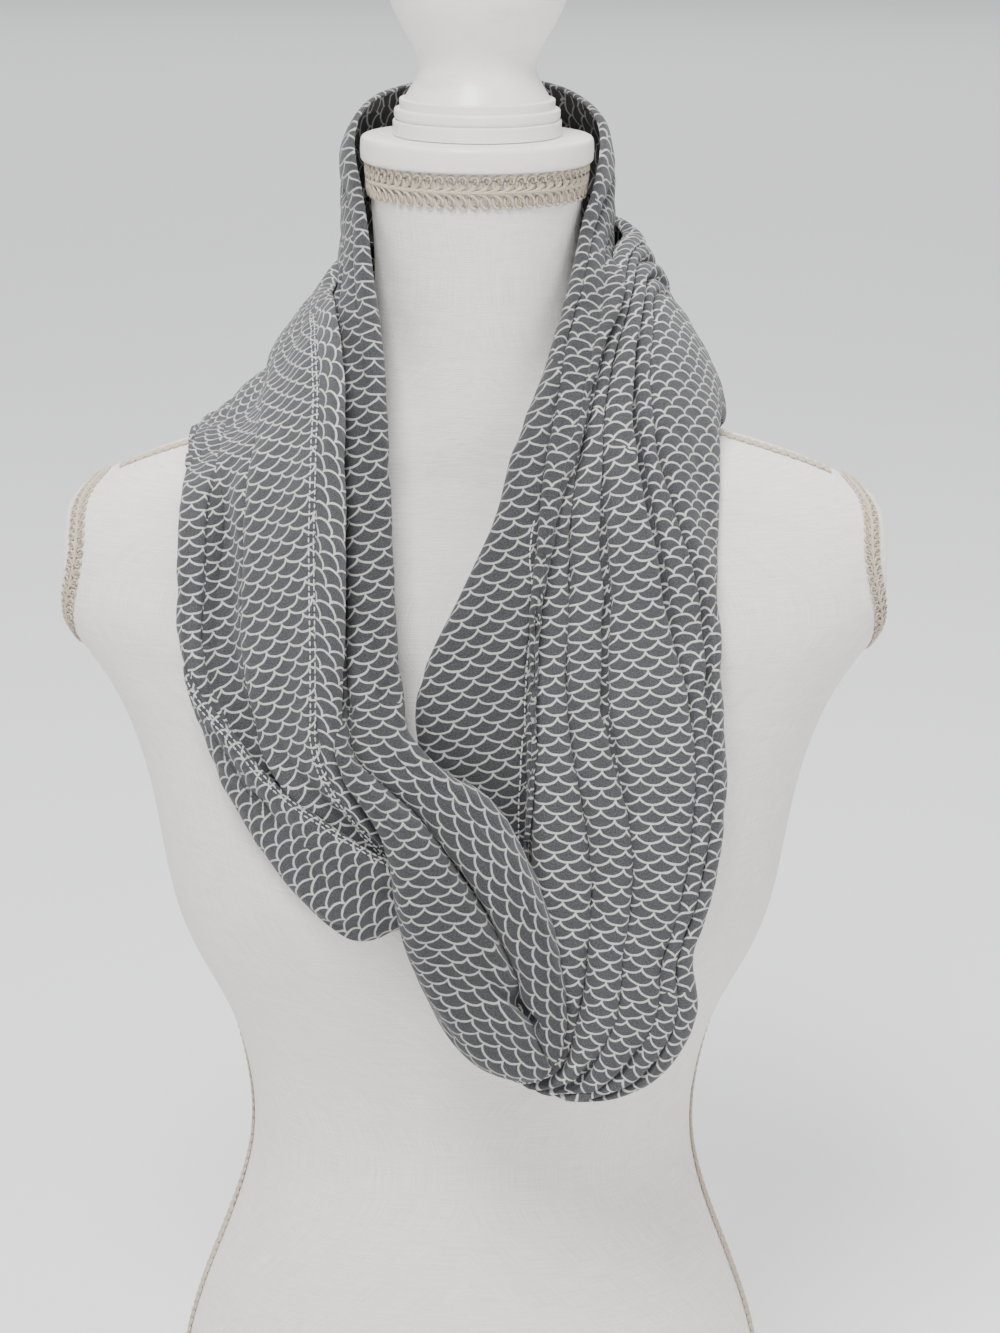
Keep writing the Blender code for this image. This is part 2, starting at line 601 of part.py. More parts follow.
def trimmed(grid):
    """The grid with its first and last sections drawn in, where it meets its neighbour."""
    grid = grid.copy()
    for edge, inner in ((0, 1), (-1, -2)):
        step = grid[inner] - grid[edge]
        grid[edge] += step * (GAP / 2 / np.linalg.norm(step, axis=1))[:, None]
    return grid


def sheet_tree(grid):
    """A search tree of a grid's faces."""
    count, size = grid.shape[:2]
    faces = []
    for i in range(count - 1):
        for j in range(size - 1):
            low = i * size + j
            faces += [(low, low + 1, low + size + 1), (low, low + size + 1, low + size)]
    return BVHTree.FromPolygons([Vector(p) * MM for p in grid.reshape(-1, 3)], faces)


def tree_of(made):
    """A search tree of an object's faces."""
    return BVHTree.FromPolygons([v.co for v in made.data.vertices], [p.vertices for p in made.data.polygons])


def scarf(solids, trims):
    """All stretches, laid from the lowest up."""
    turns = {name: Turn(*row) for name, row in TURNS.items()}
    sheets = {}
    for name, lies_on in LAYERS.items():
        turn = next(turn for turn in turns.values() if name in turn.names)
        sheets[name] = turn.lay(name, solids, trims + [sheets[other] for other in lies_on])
    for turn in turns.values():
        turn.walls()


def build():
    for old in list(bpy.data.objects):
        bpy.data.objects.remove(old)
    body_tree = tree_of(torso())
    braids(body_tree)
    cap = [(0.0, CAP_EDGE), (1.0, 0.4), (CAP_EDGE, 0.0)]
    lower = [(CAP_RADIUS - drop, height + GAP) for height, drop in cap]
    upper = [(CAP_RADIUS - drop, CAP_THICKNESS + GAP - height) for height, drop in reversed(cap)]
    turned("neck_cap", lower + upper, NECK_TOP, "painted_wood")
    turned("finial", FINIAL, NECK_TOP + GAP + CAP_THICKNESS, "painted_wood")
    under = ("shoulder_braid_left", "shoulder_braid_right", "neck_braid", "neck_cap")
    scarf([body_tree], [tree_of(bpy.data.objects[name]) for name in under])


build()
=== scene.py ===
"""Looks of an infinity scarf wound twice round the neck of a limbless dress form.

The scarf is one loop of grey woven cloth with an off-white scallop print. Each of its two turns, and the
swag between them, is a thin sheet swept through the same short tables as the solids, laid on what is under
it, folded at its edges, creased and printed in its own flat measure. The dress form is a padded
body in off-white linen with gimp braid and a turned, painted neck cap and finial.

Tables are in millimetres, meshes in metres, +Z up and the front towards -Y.
"""

import logging
import math
from collections.abc import Callable, Iterable, Sequence
from dataclasses import dataclass, field
from enum import Enum

import bmesh
import bpy
import numpy as np
from bpy.types import ID, Material, Node, NodeSocket, NodeTree, Object
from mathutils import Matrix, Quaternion, Vector
from mathutils.bvhtree import BVHTree


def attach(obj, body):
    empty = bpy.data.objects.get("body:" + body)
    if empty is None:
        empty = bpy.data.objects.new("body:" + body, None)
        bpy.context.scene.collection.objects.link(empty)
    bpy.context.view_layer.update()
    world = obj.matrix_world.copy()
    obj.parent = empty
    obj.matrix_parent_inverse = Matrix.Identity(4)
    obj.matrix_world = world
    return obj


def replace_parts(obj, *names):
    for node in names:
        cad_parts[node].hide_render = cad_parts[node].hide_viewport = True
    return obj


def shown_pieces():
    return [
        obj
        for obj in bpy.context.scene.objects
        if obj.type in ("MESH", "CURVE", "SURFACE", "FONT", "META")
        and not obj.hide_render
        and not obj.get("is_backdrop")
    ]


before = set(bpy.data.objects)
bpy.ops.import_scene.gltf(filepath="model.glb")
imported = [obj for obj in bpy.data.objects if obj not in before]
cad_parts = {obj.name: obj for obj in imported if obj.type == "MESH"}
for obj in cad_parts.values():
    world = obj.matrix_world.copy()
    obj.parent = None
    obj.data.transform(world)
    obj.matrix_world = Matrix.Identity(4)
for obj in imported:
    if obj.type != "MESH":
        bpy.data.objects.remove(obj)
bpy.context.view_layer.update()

LOG = logging.getLogger("scarf")

FIRST_SEED = 3
MM = 0.001
IN_MM = (1000.0, 1000.0, 1000.0)
Row = tuple[float, ...]
Array = np.ndarray
Colour = tuple[float, float, float]


class Slot(Enum):
    """The record's material slots."""

    CLOTH = "scarf_cloth"
    LINEN = "form_linen"
    BRAID = "form_braid"
    WOOD = "painted_wood"


class Held(Enum):
    """How a sheet of the scarf is held."""

    GATHERED = "gathered"
    DRAPED = "draped"


# Body sections: height, half width, depth in front, depth behind, squareness (2 is an ellipse)
TORSO: list[Row] = [
    (0, 147, 98, 112, 2.25),
    (60, 145.5, 97, 110, 2.25),
    (110, 131, 92, 96, 2.2),
    (180, 109.5, 84, 72, 2.15),
    (220, 112, 87, 72, 2.15),
    (256, 122.5, 95, 78, 2.2),
    (293, 140, 105, 88, 2.25),
    (345, 151.5, 112, 100, 2.3),
    (400, 165, 105, 110, 2.35),
    (424, 177, 99, 112, 2.4),
    (441, 189, 94, 112, 2.45),
    (457, 199, 89, 110, 2.5),
    (474, 204, 82, 106, 2.5),
    (491, 199, 75, 99, 2.5),
    (504, 188.5, 69, 91, 2.45),
    (514, 172, 65, 85, 2.4),
    (523, 150, 61, 78, 2.35),
    (530, 128, 58.5, 73, 2.3),
    (538, 102, 56, 67, 2.2),
    (549, 75, 53, 60, 2.1),
    (566, 56, 49.5, 53, 2),
    (595, 47.5, 47, 48.5, 2),
    (630, 47.5, 47.5, 47.5, 2),
    (661, 50, 50, 50, 2),
]

# Turned finial above the cap: radius, height, how round the corner there is
FINIAL: list[Row] = [
    (38.4, 0.3, 0.4),
    (38.4, 7, 1.6),
    (36.6, 7, 0.3),
    (37.8, 8.2, 1.2),
    (37.8, 12.2, 1.3),
    (35.2, 12.2, 0.3),
    (35.6, 16.6, 1.2),
    (33.2, 16.6, 0.3),
]
FINIAL_FLARE: list[Row] = [
    (33, 17),
    (29.4, 23),
    (26.8, 31),
    (28.4, 38),
    (33, 46),
    (39, 58),
    (42.6, 72),
    (41.6, 86),
    (35, 99),
    (23, 108),
    (8, 112.4),
    (0.2, 112.5),
]


@dataclass(frozen=True)
class PrintRun:
    """Panels over which the print runs on without a break.

    Attributes:
        first: its first panel.
        last: its last panel.
        leans: for shares of the way along, how many degrees the closed ends of the scallops are turned
            anticlockwise from straight down, seen from outside. A share that comes twice is a break.
    """

    first: int
    last: int
    leans: tuple[tuple[float, float], ...]


@dataclass(frozen=True)
class Stretch:
    """One stretch of the scarf that shows.

    Attributes:
        sections: rows of inner x, y, z, outer x, y, z, puff, and the place of each pleat line from 0 at the
            inner edge to 1 at the outer edge.
        pleats: for each line the share of the puff that it loses, and how wide the cloth rounds off before
            and after it.
        panels: heights of the panels between the lines.
        rims: how wide the cloth rounds off at its two edges.
        prints: how the print lies on its panels.
    """

    sections: tuple[Row, ...]
    pleats: tuple[Row, ...]
    panels: Row
    rims: Row
    prints: tuple[PrintRun, ...]


RIGHT_NECK_FALL = Stretch(
    sections=(
        # lines: soft turn, second line
        (-19, -113, 400, 28, -118, 362, 5, 0.93, 0.98),
        (-25, -115, 430, 28, -119, 392, 6, 0.93, 0.98),
        (-19, -112, 457, 28, -116, 424, 7, 0.92, 0.98),
        (-5, -106, 484, 29, -112, 458, 8, 0.88, 0.97),
        (9, -96, 517, 34, -104, 500, 8, 0.76, 0.94),
        (18, -82, 546, 41, -92, 531, 8, 0.58, 0.90),
        (27, -68, 568, 48, -78, 552, 8, 0.42, 0.86),
        (36, -52, 593, 53, -60, 575, 6, 0.26, 0.80),
        (42, -34, 617, 57, -37, 594, 5, 0.24, 0.72),
        (48, -12, 646, 60, -4, 610, 4, 0.28, 0.68),
    ),
    pleats=((0.45, 7, 4), (0, 4, 4)),
    panels=(1, 1, 1),
    rims=(9, 6),
    prints=(
        PrintRun(0, 0, ((0, 12), (0.72, 12), (0.72, 178), (1, 150))),
        PrintRun(1, 2, ((0, 180), (0.7, 176), (1, 150))),
    ),
)

NAPE_BAND = Stretch(
    sections=(
        # upper edge inside; lines: two pleats
        (48, -12, 646, 60, -4, 610, 4, 0.28, 0.68),
        (54, 10, 669, 62, 22, 608, 4, 0.32, 0.67),
        (47, 36, 685, 54, 50, 612, 5, 0.34, 0.66),
        (26, 54, 692, 31, 68, 616, 6, 0.35, 0.66),
        (0, 61, 694, 0, 76, 617, 6, 0.36, 0.66),
        (-26, 54, 691, -31, 68, 616, 6, 0.35, 0.66),
        (-47, 36, 684, -54, 50, 612, 5, 0.34, 0.67),
        (-54, 10, 668, -62, 22, 607, 4, 0.32, 0.70),
        (-49, -12, 648, -61, -2, 610, 4, 0.30, 0.76),
    ),
    pleats=((0.4, 6, 8), (0.45, 7, 6)),
    panels=(1, 1.15, 0.95),
    rims=(6, 6),
    prints=(
        PrintRun(0, 1, ((0, 150), (0.2, 100), (0.5, 90), (0.8, 80), (1, 30))),
        PrintRun(2, 2, ((0, 150), (0.2, 100), (0.5, 90), (0.8, 80), (1, 30))),
    ),
)

LEFT_NECK_FALL = Stretch(
    sections=(
        # lines: crease, pleat beside the seam
        (-49, -12, 648, -61, -2, 610, 4, 0.30, 0.76),
        (-46, -33, 622, -62, -20, 594, 5, 0.30, 0.79),
        (-42, -53, 594, -62, -42, 578, 6, 0.30, 0.79),
        (-39, -71, 565, -62, -62, 556, 6, 0.30, 0.78),
        (-37, -86, 532, -62, -79, 528, 6, 0.30, 0.78),
        (-35, -99, 500, -62, -93, 496, 6, 0.30, 0.78),
        (-33, -112, 468, -61, -107, 464, 7, 0.30, 0.78),
        (-30, -122, 440, -59, -121, 436, 8, 0.28, 0.80),
    ),
    pleats=((0.1, 6, 6), (0.65, 5, 3.5)),
    panels=(0.9, 1, 0.9),
    rims=(5, 4.5),
    prints=(
        PrintRun(0, 1, ((0, 34), (0.3, 22), (1, 18))),
        PrintRun(2, 2, ((0, 34), (0.3, 24), (1, 20))),
    ),
)

FRONT_CROSSING = Stretch(
    sections=(
        # upper edge inside; lines: crease, groove between the two rolls
        (-30, -122, 440, -59, -121, 436, 8, 0.28, 0.80),
        (-27, -128, 427, -58, -128, 417, 9, 0.26, 0.77),
        (-12, -133, 413, -51, -134, 402, 11, 0.22, 0.66),
        (6, -137, 403, -39, -138, 385, 14, 0.18, 0.60),
        (20, -139, 385, -34, -140, 359, 16, 0.14, 0.48),
        (31, -140, 363, -29, -140, 336, 17, 0.12, 0.40),
        (38, -140, 340, -19, -140, 309, 17, 0.12, 0.36),
        (42, -139, 318, -5, -139, 285, 15, 0.12, 0.36),
        (43, -139, 300, 13, -140, 272, 11, 0.14, 0.40),
        (41, -139, 285, 30, -140, 269, 7, 0.16, 0.44),
    ),
    pleats=((0.15, 6, 8), (0.75, 10, 7)),
    panels=(0.8, 0.95, 1.05),
    rims=(7, 11),
    prints=(
        PrintRun(0, 1, ((0, 12), (0.08, 0), (0.28, -50), (0.6, -57), (1, -52))),
        PrintRun(2, 2, ((0, 14), (0.3, 6), (0.55, 4), (0.75, -32), (1, -55))),
    ),
)

LEFT_OUTER_FALL = Stretch(
    sections=(
        # seamed edge inside; lines: seam, fold, crease, outer line
        (-19, -128, 361, -36, -124, 364, 4, 0.16, 0.62, 0.78, 0.90),
        (-29, -132, 371, -54, -124, 374, 4, 0.15, 0.66, 0.80, 0.90),
        (-41, -134, 387, -76, -118, 386, 5, 0.14, 0.70, 0.84, 0.93),
        (-51, -134, 405, -98, -109, 402, 7, 0.13, 0.66, 0.84, 0.94),
        (-56, -133, 424, -116, -97, 427, 8, 0.12, 0.62, 0.84, 0.94),
        (-56, -130, 450, -126, -88, 450, 9, 0.12, 0.60, 0.84, 0.94),
        (-55, -124, 480, -129, -74, 470, 10, 0.12, 0.58, 0.82, 0.92),
        (-55, -113, 512, -129, -63, 495, 10, 0.12, 0.57, 0.80, 0.91),
        (-56, -98, 543, -130, -50, 517, 8, 0.12, 0.56, 0.79, 0.90),
        (-57, -77, 573, -131, -29, 528, 5, 0.12, 0.54, 0.78, 0.89),
        (-61, -47, 594, -132, -10, 531, 4, 0.11, 0.50, 0.76, 0.88),
        (-65, -14, 601, -132, 4, 533, 4, 0.10, 0.48, 0.75, 0.87),
    ),
    pleats=((0.3, 2.5, 3), (0.85, 9, 4), (0.55, 6, 7), (0, 5, 5)),
    panels=(0.8, 1, 0.5, 0.95, 0.95),
    rims=(3, 11),
    prints=(
        PrintRun(0, 0, ((0, 150), (1, 150))),
        PrintRun(1, 1, ((0, 24), (0.3, 30), (0.7, 33), (1, 26))),
        PrintRun(2, 2, ((0, 20), (1, 26))),
        PrintRun(3, 4, ((0, 14), (1, 22))),
    ),
)

ROUND_THE_BACK = ((0.25, 60), (0.5, 90), (0.75, 120), (1, 150))
BACK_DRAPE = Stretch(
    sections=(
        # upper edge inside; lines: four pleats
        (-65, -14, 601, -132, 4, 533, 4, 0.10, 0.48, 0.75, 0.87),
        (-68, 20, 598, -130, 38, 525, 7, 0.14, 0.48, 0.74, 0.86),
        (-60, 56, 608, -108, 82, 504, 8, 0.18, 0.44, 0.70, 0.85),
        (-35, 80, 630, -62, 97, 492, 9, 0.20, 0.42, 0.68, 0.84),
        (0, 90, 640, -2, 102, 488, 10, 0.20, 0.42, 0.66, 0.83),
        (35, 80, 636, 60, 97, 494, 9, 0.20, 0.40, 0.64, 0.82),
        (60, 58, 628, 98, 82, 506, 10, 0.18, 0.36, 0.58, 0.80),
        (67, 31, 623, 113, 42, 528, 11, 0.10, 0.20, 0.34, 0.52),
        (60, 4, 619, 112, 4, 542, 12, 0.07, 0.14, 0.22, 0.31),
    ),
    pleats=((0.15, 7, 7), (0.35, 9, 9), (0.3, 8, 9), (0.2, 7, 8)),
    panels=(0.85, 1, 1.1, 1, 0.95),
    rims=(10, 50),
    prints=(
        PrintRun(0, 0, ((0, 20), *ROUND_THE_BACK)),
        PrintRun(1, 1, ((0, 20), *ROUND_THE_BACK)),
        PrintRun(2, 2, ((0, 18), *ROUND_THE_BACK)),
        PrintRun(3, 4, ((0, 18), *ROUND_THE_BACK)),
    ),
)

RIGHT_OUTER_FALL = Stretch(
    sections=(
        # lines: four pleats
        (60, 4, 619, 112, 4, 542, 12, 0.07, 0.14, 0.22, 0.31),
        (56, -22, 607, 111, -20, 538, 12, 0.07, 0.14, 0.23, 0.33),
        (51, -40, 591, 110, -39, 530, 12, 0.07, 0.15, 0.27, 0.38),
        (46, -58, 570, 109, -56, 515, 12, 0.07, 0.15, 0.35, 0.50),
        (39, -75, 547, 109, -69, 496, 12, 0.09, 0.21, 0.48, 0.68),
        (31, -89, 525, 109, -79, 477, 12, 0.13, 0.30, 0.63, 0.84),
        (26, -100, 495, 110, -87, 456, 11, 0.18, 0.37, 0.71, 0.90),
        (24, -110, 465, 111, -97, 437, 11, 0.19, 0.37, 0.79, 0.91),
        (24, -118, 441, 112, -103, 421, 12, 0.19, 0.37, 0.82, 0.92),
    ),
    pleats=((0.6, 4, 4), (0.5, 5, 6), (0.65, 8, 5), (0.5, 5, 5)),
    panels=(0.75, 0.85, 1, 0.8, 0.95),
    rims=(6, 30),
    prints=(
        PrintRun(0, 0, ((0, 150), (0.2, 170), (0.36, 176), (0.36, 4), (1, 0))),
        PrintRun(1, 1, ((0, 150), (0.2, 170), (0.42, 176), (0.42, 4), (1, 0))),
        PrintRun(2, 2, ((0, 150), (0.2, 170), (0.46, 176), (0.46, 6), (1, 0))),
        PrintRun(3, 4, ((0, 150), (0.2, 168), (0.6, 180), (1, 184))),
    ),
)

BOTTOM_TURN = Stretch(
    sections=(
        # lines: four pleats
        (24, -118, 441, 112, -103, 421, 12, 0.19, 0.37, 0.82, 0.92),
        (25, -125, 416, 113, -110, 402, 12, 0.22, 0.42, 0.83, 0.92),
        (26, -130, 392, 112, -117, 381, 12, 0.27, 0.49, 0.82, 0.92),
        (27, -133, 370, 109, -123, 361, 12, 0.31, 0.53, 0.82, 0.91),
        (28, -135, 350, 104, -127, 340, 12, 0.32, 0.54, 0.81, 0.90),
        (30, -137, 329, 99, -130, 322, 12, 0.31, 0.53, 0.79, 0.88),
        (31, -138, 310, 102, -132, 304, 12, 0.26, 0.49, 0.73, 0.86),
        (31, -138, 291, 97, -132, 284, 11, 0.22, 0.44, 0.69, 0.84),
        (29, -138, 278, 84, -132, 267, 10, 0.22, 0.40, 0.64, 0.82),
        (22, -137, 272, 61, -133, 258, 8, 0.22, 0.40, 0.62, 0.80),
        (15, -135, 272, 38, -133, 265, 5, 0.22, 0.40, 0.60, 0.80),
    ),
    pleats=((0.7, 5, 5), (0.45, 7, 6), (0.45, 8, 6), (0.5, 5, 5)),
    panels=(0.7, 0.95, 1, 0.9, 0.85),
    rims=(5, 10),
    prints=(
        PrintRun(0, 0, ((0, 0), (0.6, -10), (1, -50))),
        PrintRun(1, 1, ((0, 0), (0.65, -12), (1, -50))),
        PrintRun(2, 2, ((0, 0), (0.7, -16), (1, -50))),
        PrintRun(3, 4, ((0, 184), (0.62, 180), (0.62, -12), (1, -50))),
    ),
)

LEFT_SWAG = Stretch(
    sections=(
        # hemmed upper edge inside; lines: pleat
        (-121, -95, 450, -126, -88, 444, 3, 0.40),
        (-117, -101, 442, -123, -90, 432, 5, 0.42),
        (-106, -109, 427, -117, -95, 413, 6, 0.42),
        (-91, -118, 408, -108, -104, 393, 7, 0.42),
        (-76, -127, 396, -96, -114, 376, 8, 0.40),
        (-61, -132, 387, -82, -124, 358, 8, 0.38),
        (-46, -134, 378, -65, -131, 341, 8, 0.36),
        (-32, -133, 370, -48, -131, 333, 8, 0.36),
        (-20, -130, 362, -28, -129, 339, 6, 0.36),
        (-12, -127, 357, -15, -127, 345, 4, 0.38),
    ),
    pleats=((0.25, 9, 9),),
    panels=(0.85, 1),
    rims=(4, 9),
    prints=(PrintRun(0, 1, ((0, -118), (0.3, -123), (1, -123))),),
)

# Nodes of the scarf, in the order of the two turns
RNF, NAPE, LNF, FRONT = "right_neck_fall", "nape_band", "left_neck_fall", "front_crossing"
LOF, BACK, ROF, BOTTOM = "left_outer_fall", "back_drape", "right_outer_fall", "bottom_turn"
SWAG = "left_swag"
STRETCHES: dict[str, Stretch] = {
    RNF: RIGHT_NECK_FALL,
    NAPE: NAPE_BAND,
    LNF: LEFT_NECK_FALL,
    FRONT: FRONT_CROSSING,
    LOF: LEFT_OUTER_FALL,
    BACK: BACK_DRAPE,
    ROF: RIGHT_OUTER_FALL,
    BOTTOM: BOTTOM_TURN,
    SWAG: LEFT_SWAG,
}

# From the lowest layer up: a stretch, and the stretches that it lies on
LAYERS: dict[str, tuple[str, ...]] = {
    NAPE: (),
    LNF: (),
    BACK: (NAPE,),
    LOF: (LNF, NAPE),
    SWAG: (LOF,),
    ROF: (NAPE,),
    BOTTOM: (),
    RNF: (ROF, BOTTOM),
    FRONT: (SWAG, LOF, RNF, BOTTOM),
}


def srgb(red: float, green: float, blue: float) -> Colour:
    """Makes a colour from the values that a screen shows.

    Args:
        red: red from 0 to 255.
        green: green from 0 to 255.
        blue: blue from 0 to 255.

    Returns:
        The linear colour.
    """

    def linear(value: float) -> float:
        """One channel, from its screen value."""
        share = value / 255
        return share / 12.92 if share <= 0.04045 else ((share + 0.055) / 1.055) ** 2.4

    return linear(red), linear(green), linear(blue)


def spline(knots: Array, values: Array, at: Array) -> Array:
    """Natural cubic spline through rows of values.

    Args:
        knots: parameter of each row.
        values: the rows.
        at: parameters to read.

    Returns:
        One row for each parameter.
    """
    knots, values = np.asarray(knots, float), np.asarray(values, float)
    step = np.diff(knots)
    slope = np.diff(values, axis=0) / step[:, None]
    count = len(knots)
    system, right = np.eye(count), np.zeros_like(values)
    for i in range(1, count - 1):
        system[i, i - 1 : i + 2] = step[i - 1], 2 * (step[i - 1] + step[i]), step[i]
        right[i] = 6 * (slope[i] - slope[i - 1])
    bend = np.linalg.solve(system, right)
    i = np.clip(np.searchsorted(knots, at, side="right") - 1, 0, count - 2)
    h, left, rest = step[i][:, None], (at - knots[i])[:, None], (knots[i + 1] - at)[:, None]
    return (
        (bend[i] * rest**3 + bend[i + 1] * left**3) / (6 * h)
        + (values[i] / h - bend[i] * h / 6) * rest
        + (values[i + 1] / h - bend[i + 1] * h / 6) * left
    )


def rounding(distance: Array, radius: Array) -> Array:
    """0 at a fold line and 1 from one radius away, as a quarter circle."""
    near = np.clip(distance / np.maximum(radius, 1e-6), 0, 1)
    return np.sqrt(1 - (1 - near) ** 2)


def unit(vectors: Array) -> Array:
    """The vectors along the last axis, each one long."""
    return vectors / np.maximum(np.linalg.norm(vectors, axis=-1, keepdims=True), 1e-9)


def reach_along(line: Array) -> Array:
    """How far along a line each of its points lies."""
    return np.concatenate([[0], np.cumsum(np.linalg.norm(np.diff(line, axis=0), axis=1))])


def read(rows: Array, reach: Array, place: float) -> Array:
    """The row at a place, between rows that lie so far along."""
    return np.array([np.interp(place, reach, column) for column in rows.T])


def reach_across(grid: Array) -> Array:
    """How far across its row each point of a grid lies."""
    steps = np.linalg.norm(np.diff(grid, axis=1), axis=2)
    return np.concatenate([np.zeros((len(steps), 1)), np.cumsum(steps, axis=1)], axis=1)


def refined(grid: Array) -> Array:
    """Adds points half way between a grid's neighbours.

    Args:
        grid: rows of points.

    Returns:
        The finer grid.
    """
    for axis in (0, 1):
        count = grid.shape[axis]
        grid = np.moveaxis(grid, axis, 0)
        finer = np.zeros((2 * count - 1, *grid.shape[1:]))
        finer[::2] = grid
        finer[1::2] = (grid[:-1] + grid[1:]) / 2
        grid = np.moveaxis(finer, 0, axis)
    return grid


def blurred(values: Array, passes: int) -> Array:
    """Smooths the values of a grid.

    Args:
        values: one value for each point.
        passes: how many times each value is mixed with its four neighbours.

    Returns:
        The smoothed values.
    """
    for _ in range(passes):
        pad = np.pad(values, 1, mode="edge")
        values = (2 * values + pad[:-2, 1:-1] + pad[2:, 1:-1] + pad[1:-1, :-2] + pad[1:-1, 2:]) / 6
    return values


def sheet_tree(grid: Array) -> BVHTree:
    """A search tree of a grid's faces.

    Args:
        grid: rows of points in millimetres.

    Returns:
        The tree, in metres.
    """
    count, size = grid.shape[:2]
    faces = []
    for i in range(count - 1):
        for j in range(size - 1):
            low = i * size + j
            faces += [(low, low + 1, low + size + 1), (low, low + size + 1, low + size)]
    return BVHTree.FromPolygons([Vector(p) * MM for p in grid.reshape(-1, 3)], faces)


def tree_of(shape: Object) -> BVHTree:
    """A search tree of an object's faces, in metres."""
    mesh = shape.data
    return BVHTree.FromPolygons([v.co for v in mesh.vertices], [p.vertices for p in mesh.polygons])


def grid_faces(rows: int, size: int, closed: bool = False) -> list[tuple[int, int, int, int]]:
    """Faces that skin a grid of points.

    Args:
        rows: number of rows.
        size: points in a row.
        closed: whether each row closes on itself.

    Returns:
        Four corners for each face.
    """
    faces = []
    for i in range(rows - 1):
        for j in range(size if closed else size - 1):
            k = (j + 1) % size
            faces.append((i * size + j, i * size + k, (i + 1) * size + k, (i + 1) * size + j))
    return faces


def new_piece(
    name: str,
    points: Iterable[Sequence[float]],
    faces: Sequence[Sequence[int]],
    material: Material,
    sharp: float = 60.0,
) -> Object:
    """A smooth-shaded piece that rides on the part's one body.

    Args:
        name: the piece's name.
        points: its points in millimetres.
        faces: its faces.
        material: its finish.
        sharp: angle in degrees from which an edge stays sharp.

    Returns:
        The new object.
    """
    mesh = bpy.data.meshes.new(name)
    mesh.from_pydata([Vector(p) * MM for p in points], [], faces)
    mesh.shade_smooth()
    mesh.set_sharp_from_angle(angle=math.radians(sharp))
    mesh.materials.append(material)
    made = bpy.data.objects.new(name, mesh)
    bpy.context.scene.collection.objects.link(made)
    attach(made, "root")
    return made


def set_uv(piece: Object, name: str, corners: Array) -> None:
    """Gives a piece a named flat map, from one pair of millimetres for each face corner."""
    layer = piece.data.uv_layers.new(name=name)
    layer.data.foreach_set("uv", (corners * MM).astype(np.float32).ravel())


@dataclass
class Tree:
    """Adds nodes to one shader tree."""

    tree: NodeTree

    def feed(self, node: Node, values: dict) -> Node:
        """Sets or links a node's inputs.

        Args:
            node: the node.
            values: for an input's name or number, a value or the socket that feeds it.

        Returns:
            The node.
        """
        for place, value in values.items():
            socket = node.inputs[place]
            if isinstance(value, NodeSocket):
                self.tree.links.new(value, socket)
            else:
                socket.default_value = value
        return node

    def put(self, kind: str, values: dict | None = None, **settings: object) -> Node:
        """A new node.

        Args:
            kind: the node's type without its ShaderNode prefix.
            values: what its inputs are fed with.
            settings: properties of the node.

        Returns:
            The node.
        """
        node = self.tree.nodes.new("ShaderNode" + kind)
        for name, value in settings.items():
            setattr(node, name, value)
        return self.feed(node, values or {})

    def math(self, operation: str, *values: object) -> NodeSocket:
        """The result of a Math node."""
        return self.put("Math", dict(enumerate(values)), operation=operation).outputs[0]

    def smooth(self, value: object, start: object, end: object) -> NodeSocket:
        """0 before the start and 1 after the end, with a soft passage."""
        places = {"Value": value, "From Min": start, "From Max": end}
        return self.put("MapRange", places, interpolation_type="SMOOTHSTEP").outputs[0]

    def noise(self, vector: object, scale: float, detail: float, rough: float = 0.5) -> NodeSocket:
        """A noise value from 0 to 1."""
        values = {"Vector": vector, "Scale": scale, "Detail": detail, "Roughness": rough}
        return self.put("TexNoise", values).outputs["Fac"]

    def vector(self, operation: str, first: object, second: object) -> NodeSocket:
        """The result of a Vector Math node."""
        return self.put("VectorMath", {0: first, 1: second}, operation=operation).outputs[0]

    def mixed(self, share: object, low: object, high: object) -> NodeSocket:
        """A colour between two others."""
        low, high = (c if isinstance(c, NodeSocket) else (*c, 1.0) for c in (low, high))
        return self.put("Mix", {"Factor": share, 6: low, 7: high}, data_type="RGBA").outputs[2]

    def group(self, effect: "Effect", values: dict) -> Node:
        """An effect placed in this tree with its own values."""
        return self.put("Group", values, node_tree=effect.tree())


Sockets = dict[str, NodeSocket]


@dataclass(frozen=True)
class Effect:
    """A shader node group that is built once and placed in each material with its own values.

    Attributes:
        name: its name.
        inputs: for each input its kind, Float or Vector.
        outputs: names of the outputs, all of them values.
        fill: makes the nodes from the input sockets and gives the output sockets.
    """

    name: str
    inputs: dict[str, str]
    outputs: tuple[str, ...]
    fill: Callable[[Tree, Sockets], Sockets]

    def tree(self) -> NodeTree:
        """Makes the group at its first use.

        Returns:
            The group.
        """
        if self.name in bpy.data.node_groups:
            return bpy.data.node_groups[self.name]
        made = bpy.data.node_groups.new(self.name, "ShaderNodeTree")
        for label, kind in self.inputs.items():
            made.interface.new_socket(name=label, in_out="INPUT", socket_type="NodeSocket" + kind)
        for label in self.outputs:
            made.interface.new_socket(name=label, in_out="OUTPUT", socket_type="NodeSocketFloat")
        entry = made.nodes.new("NodeGroupInput")
        end = made.nodes.new("NodeGroupOutput")
        found = self.fill(Tree(made), {label: entry.outputs[label] for label in self.inputs})
        for label in self.outputs:
            made.links.new(found[label], end.inputs[label])
        return made


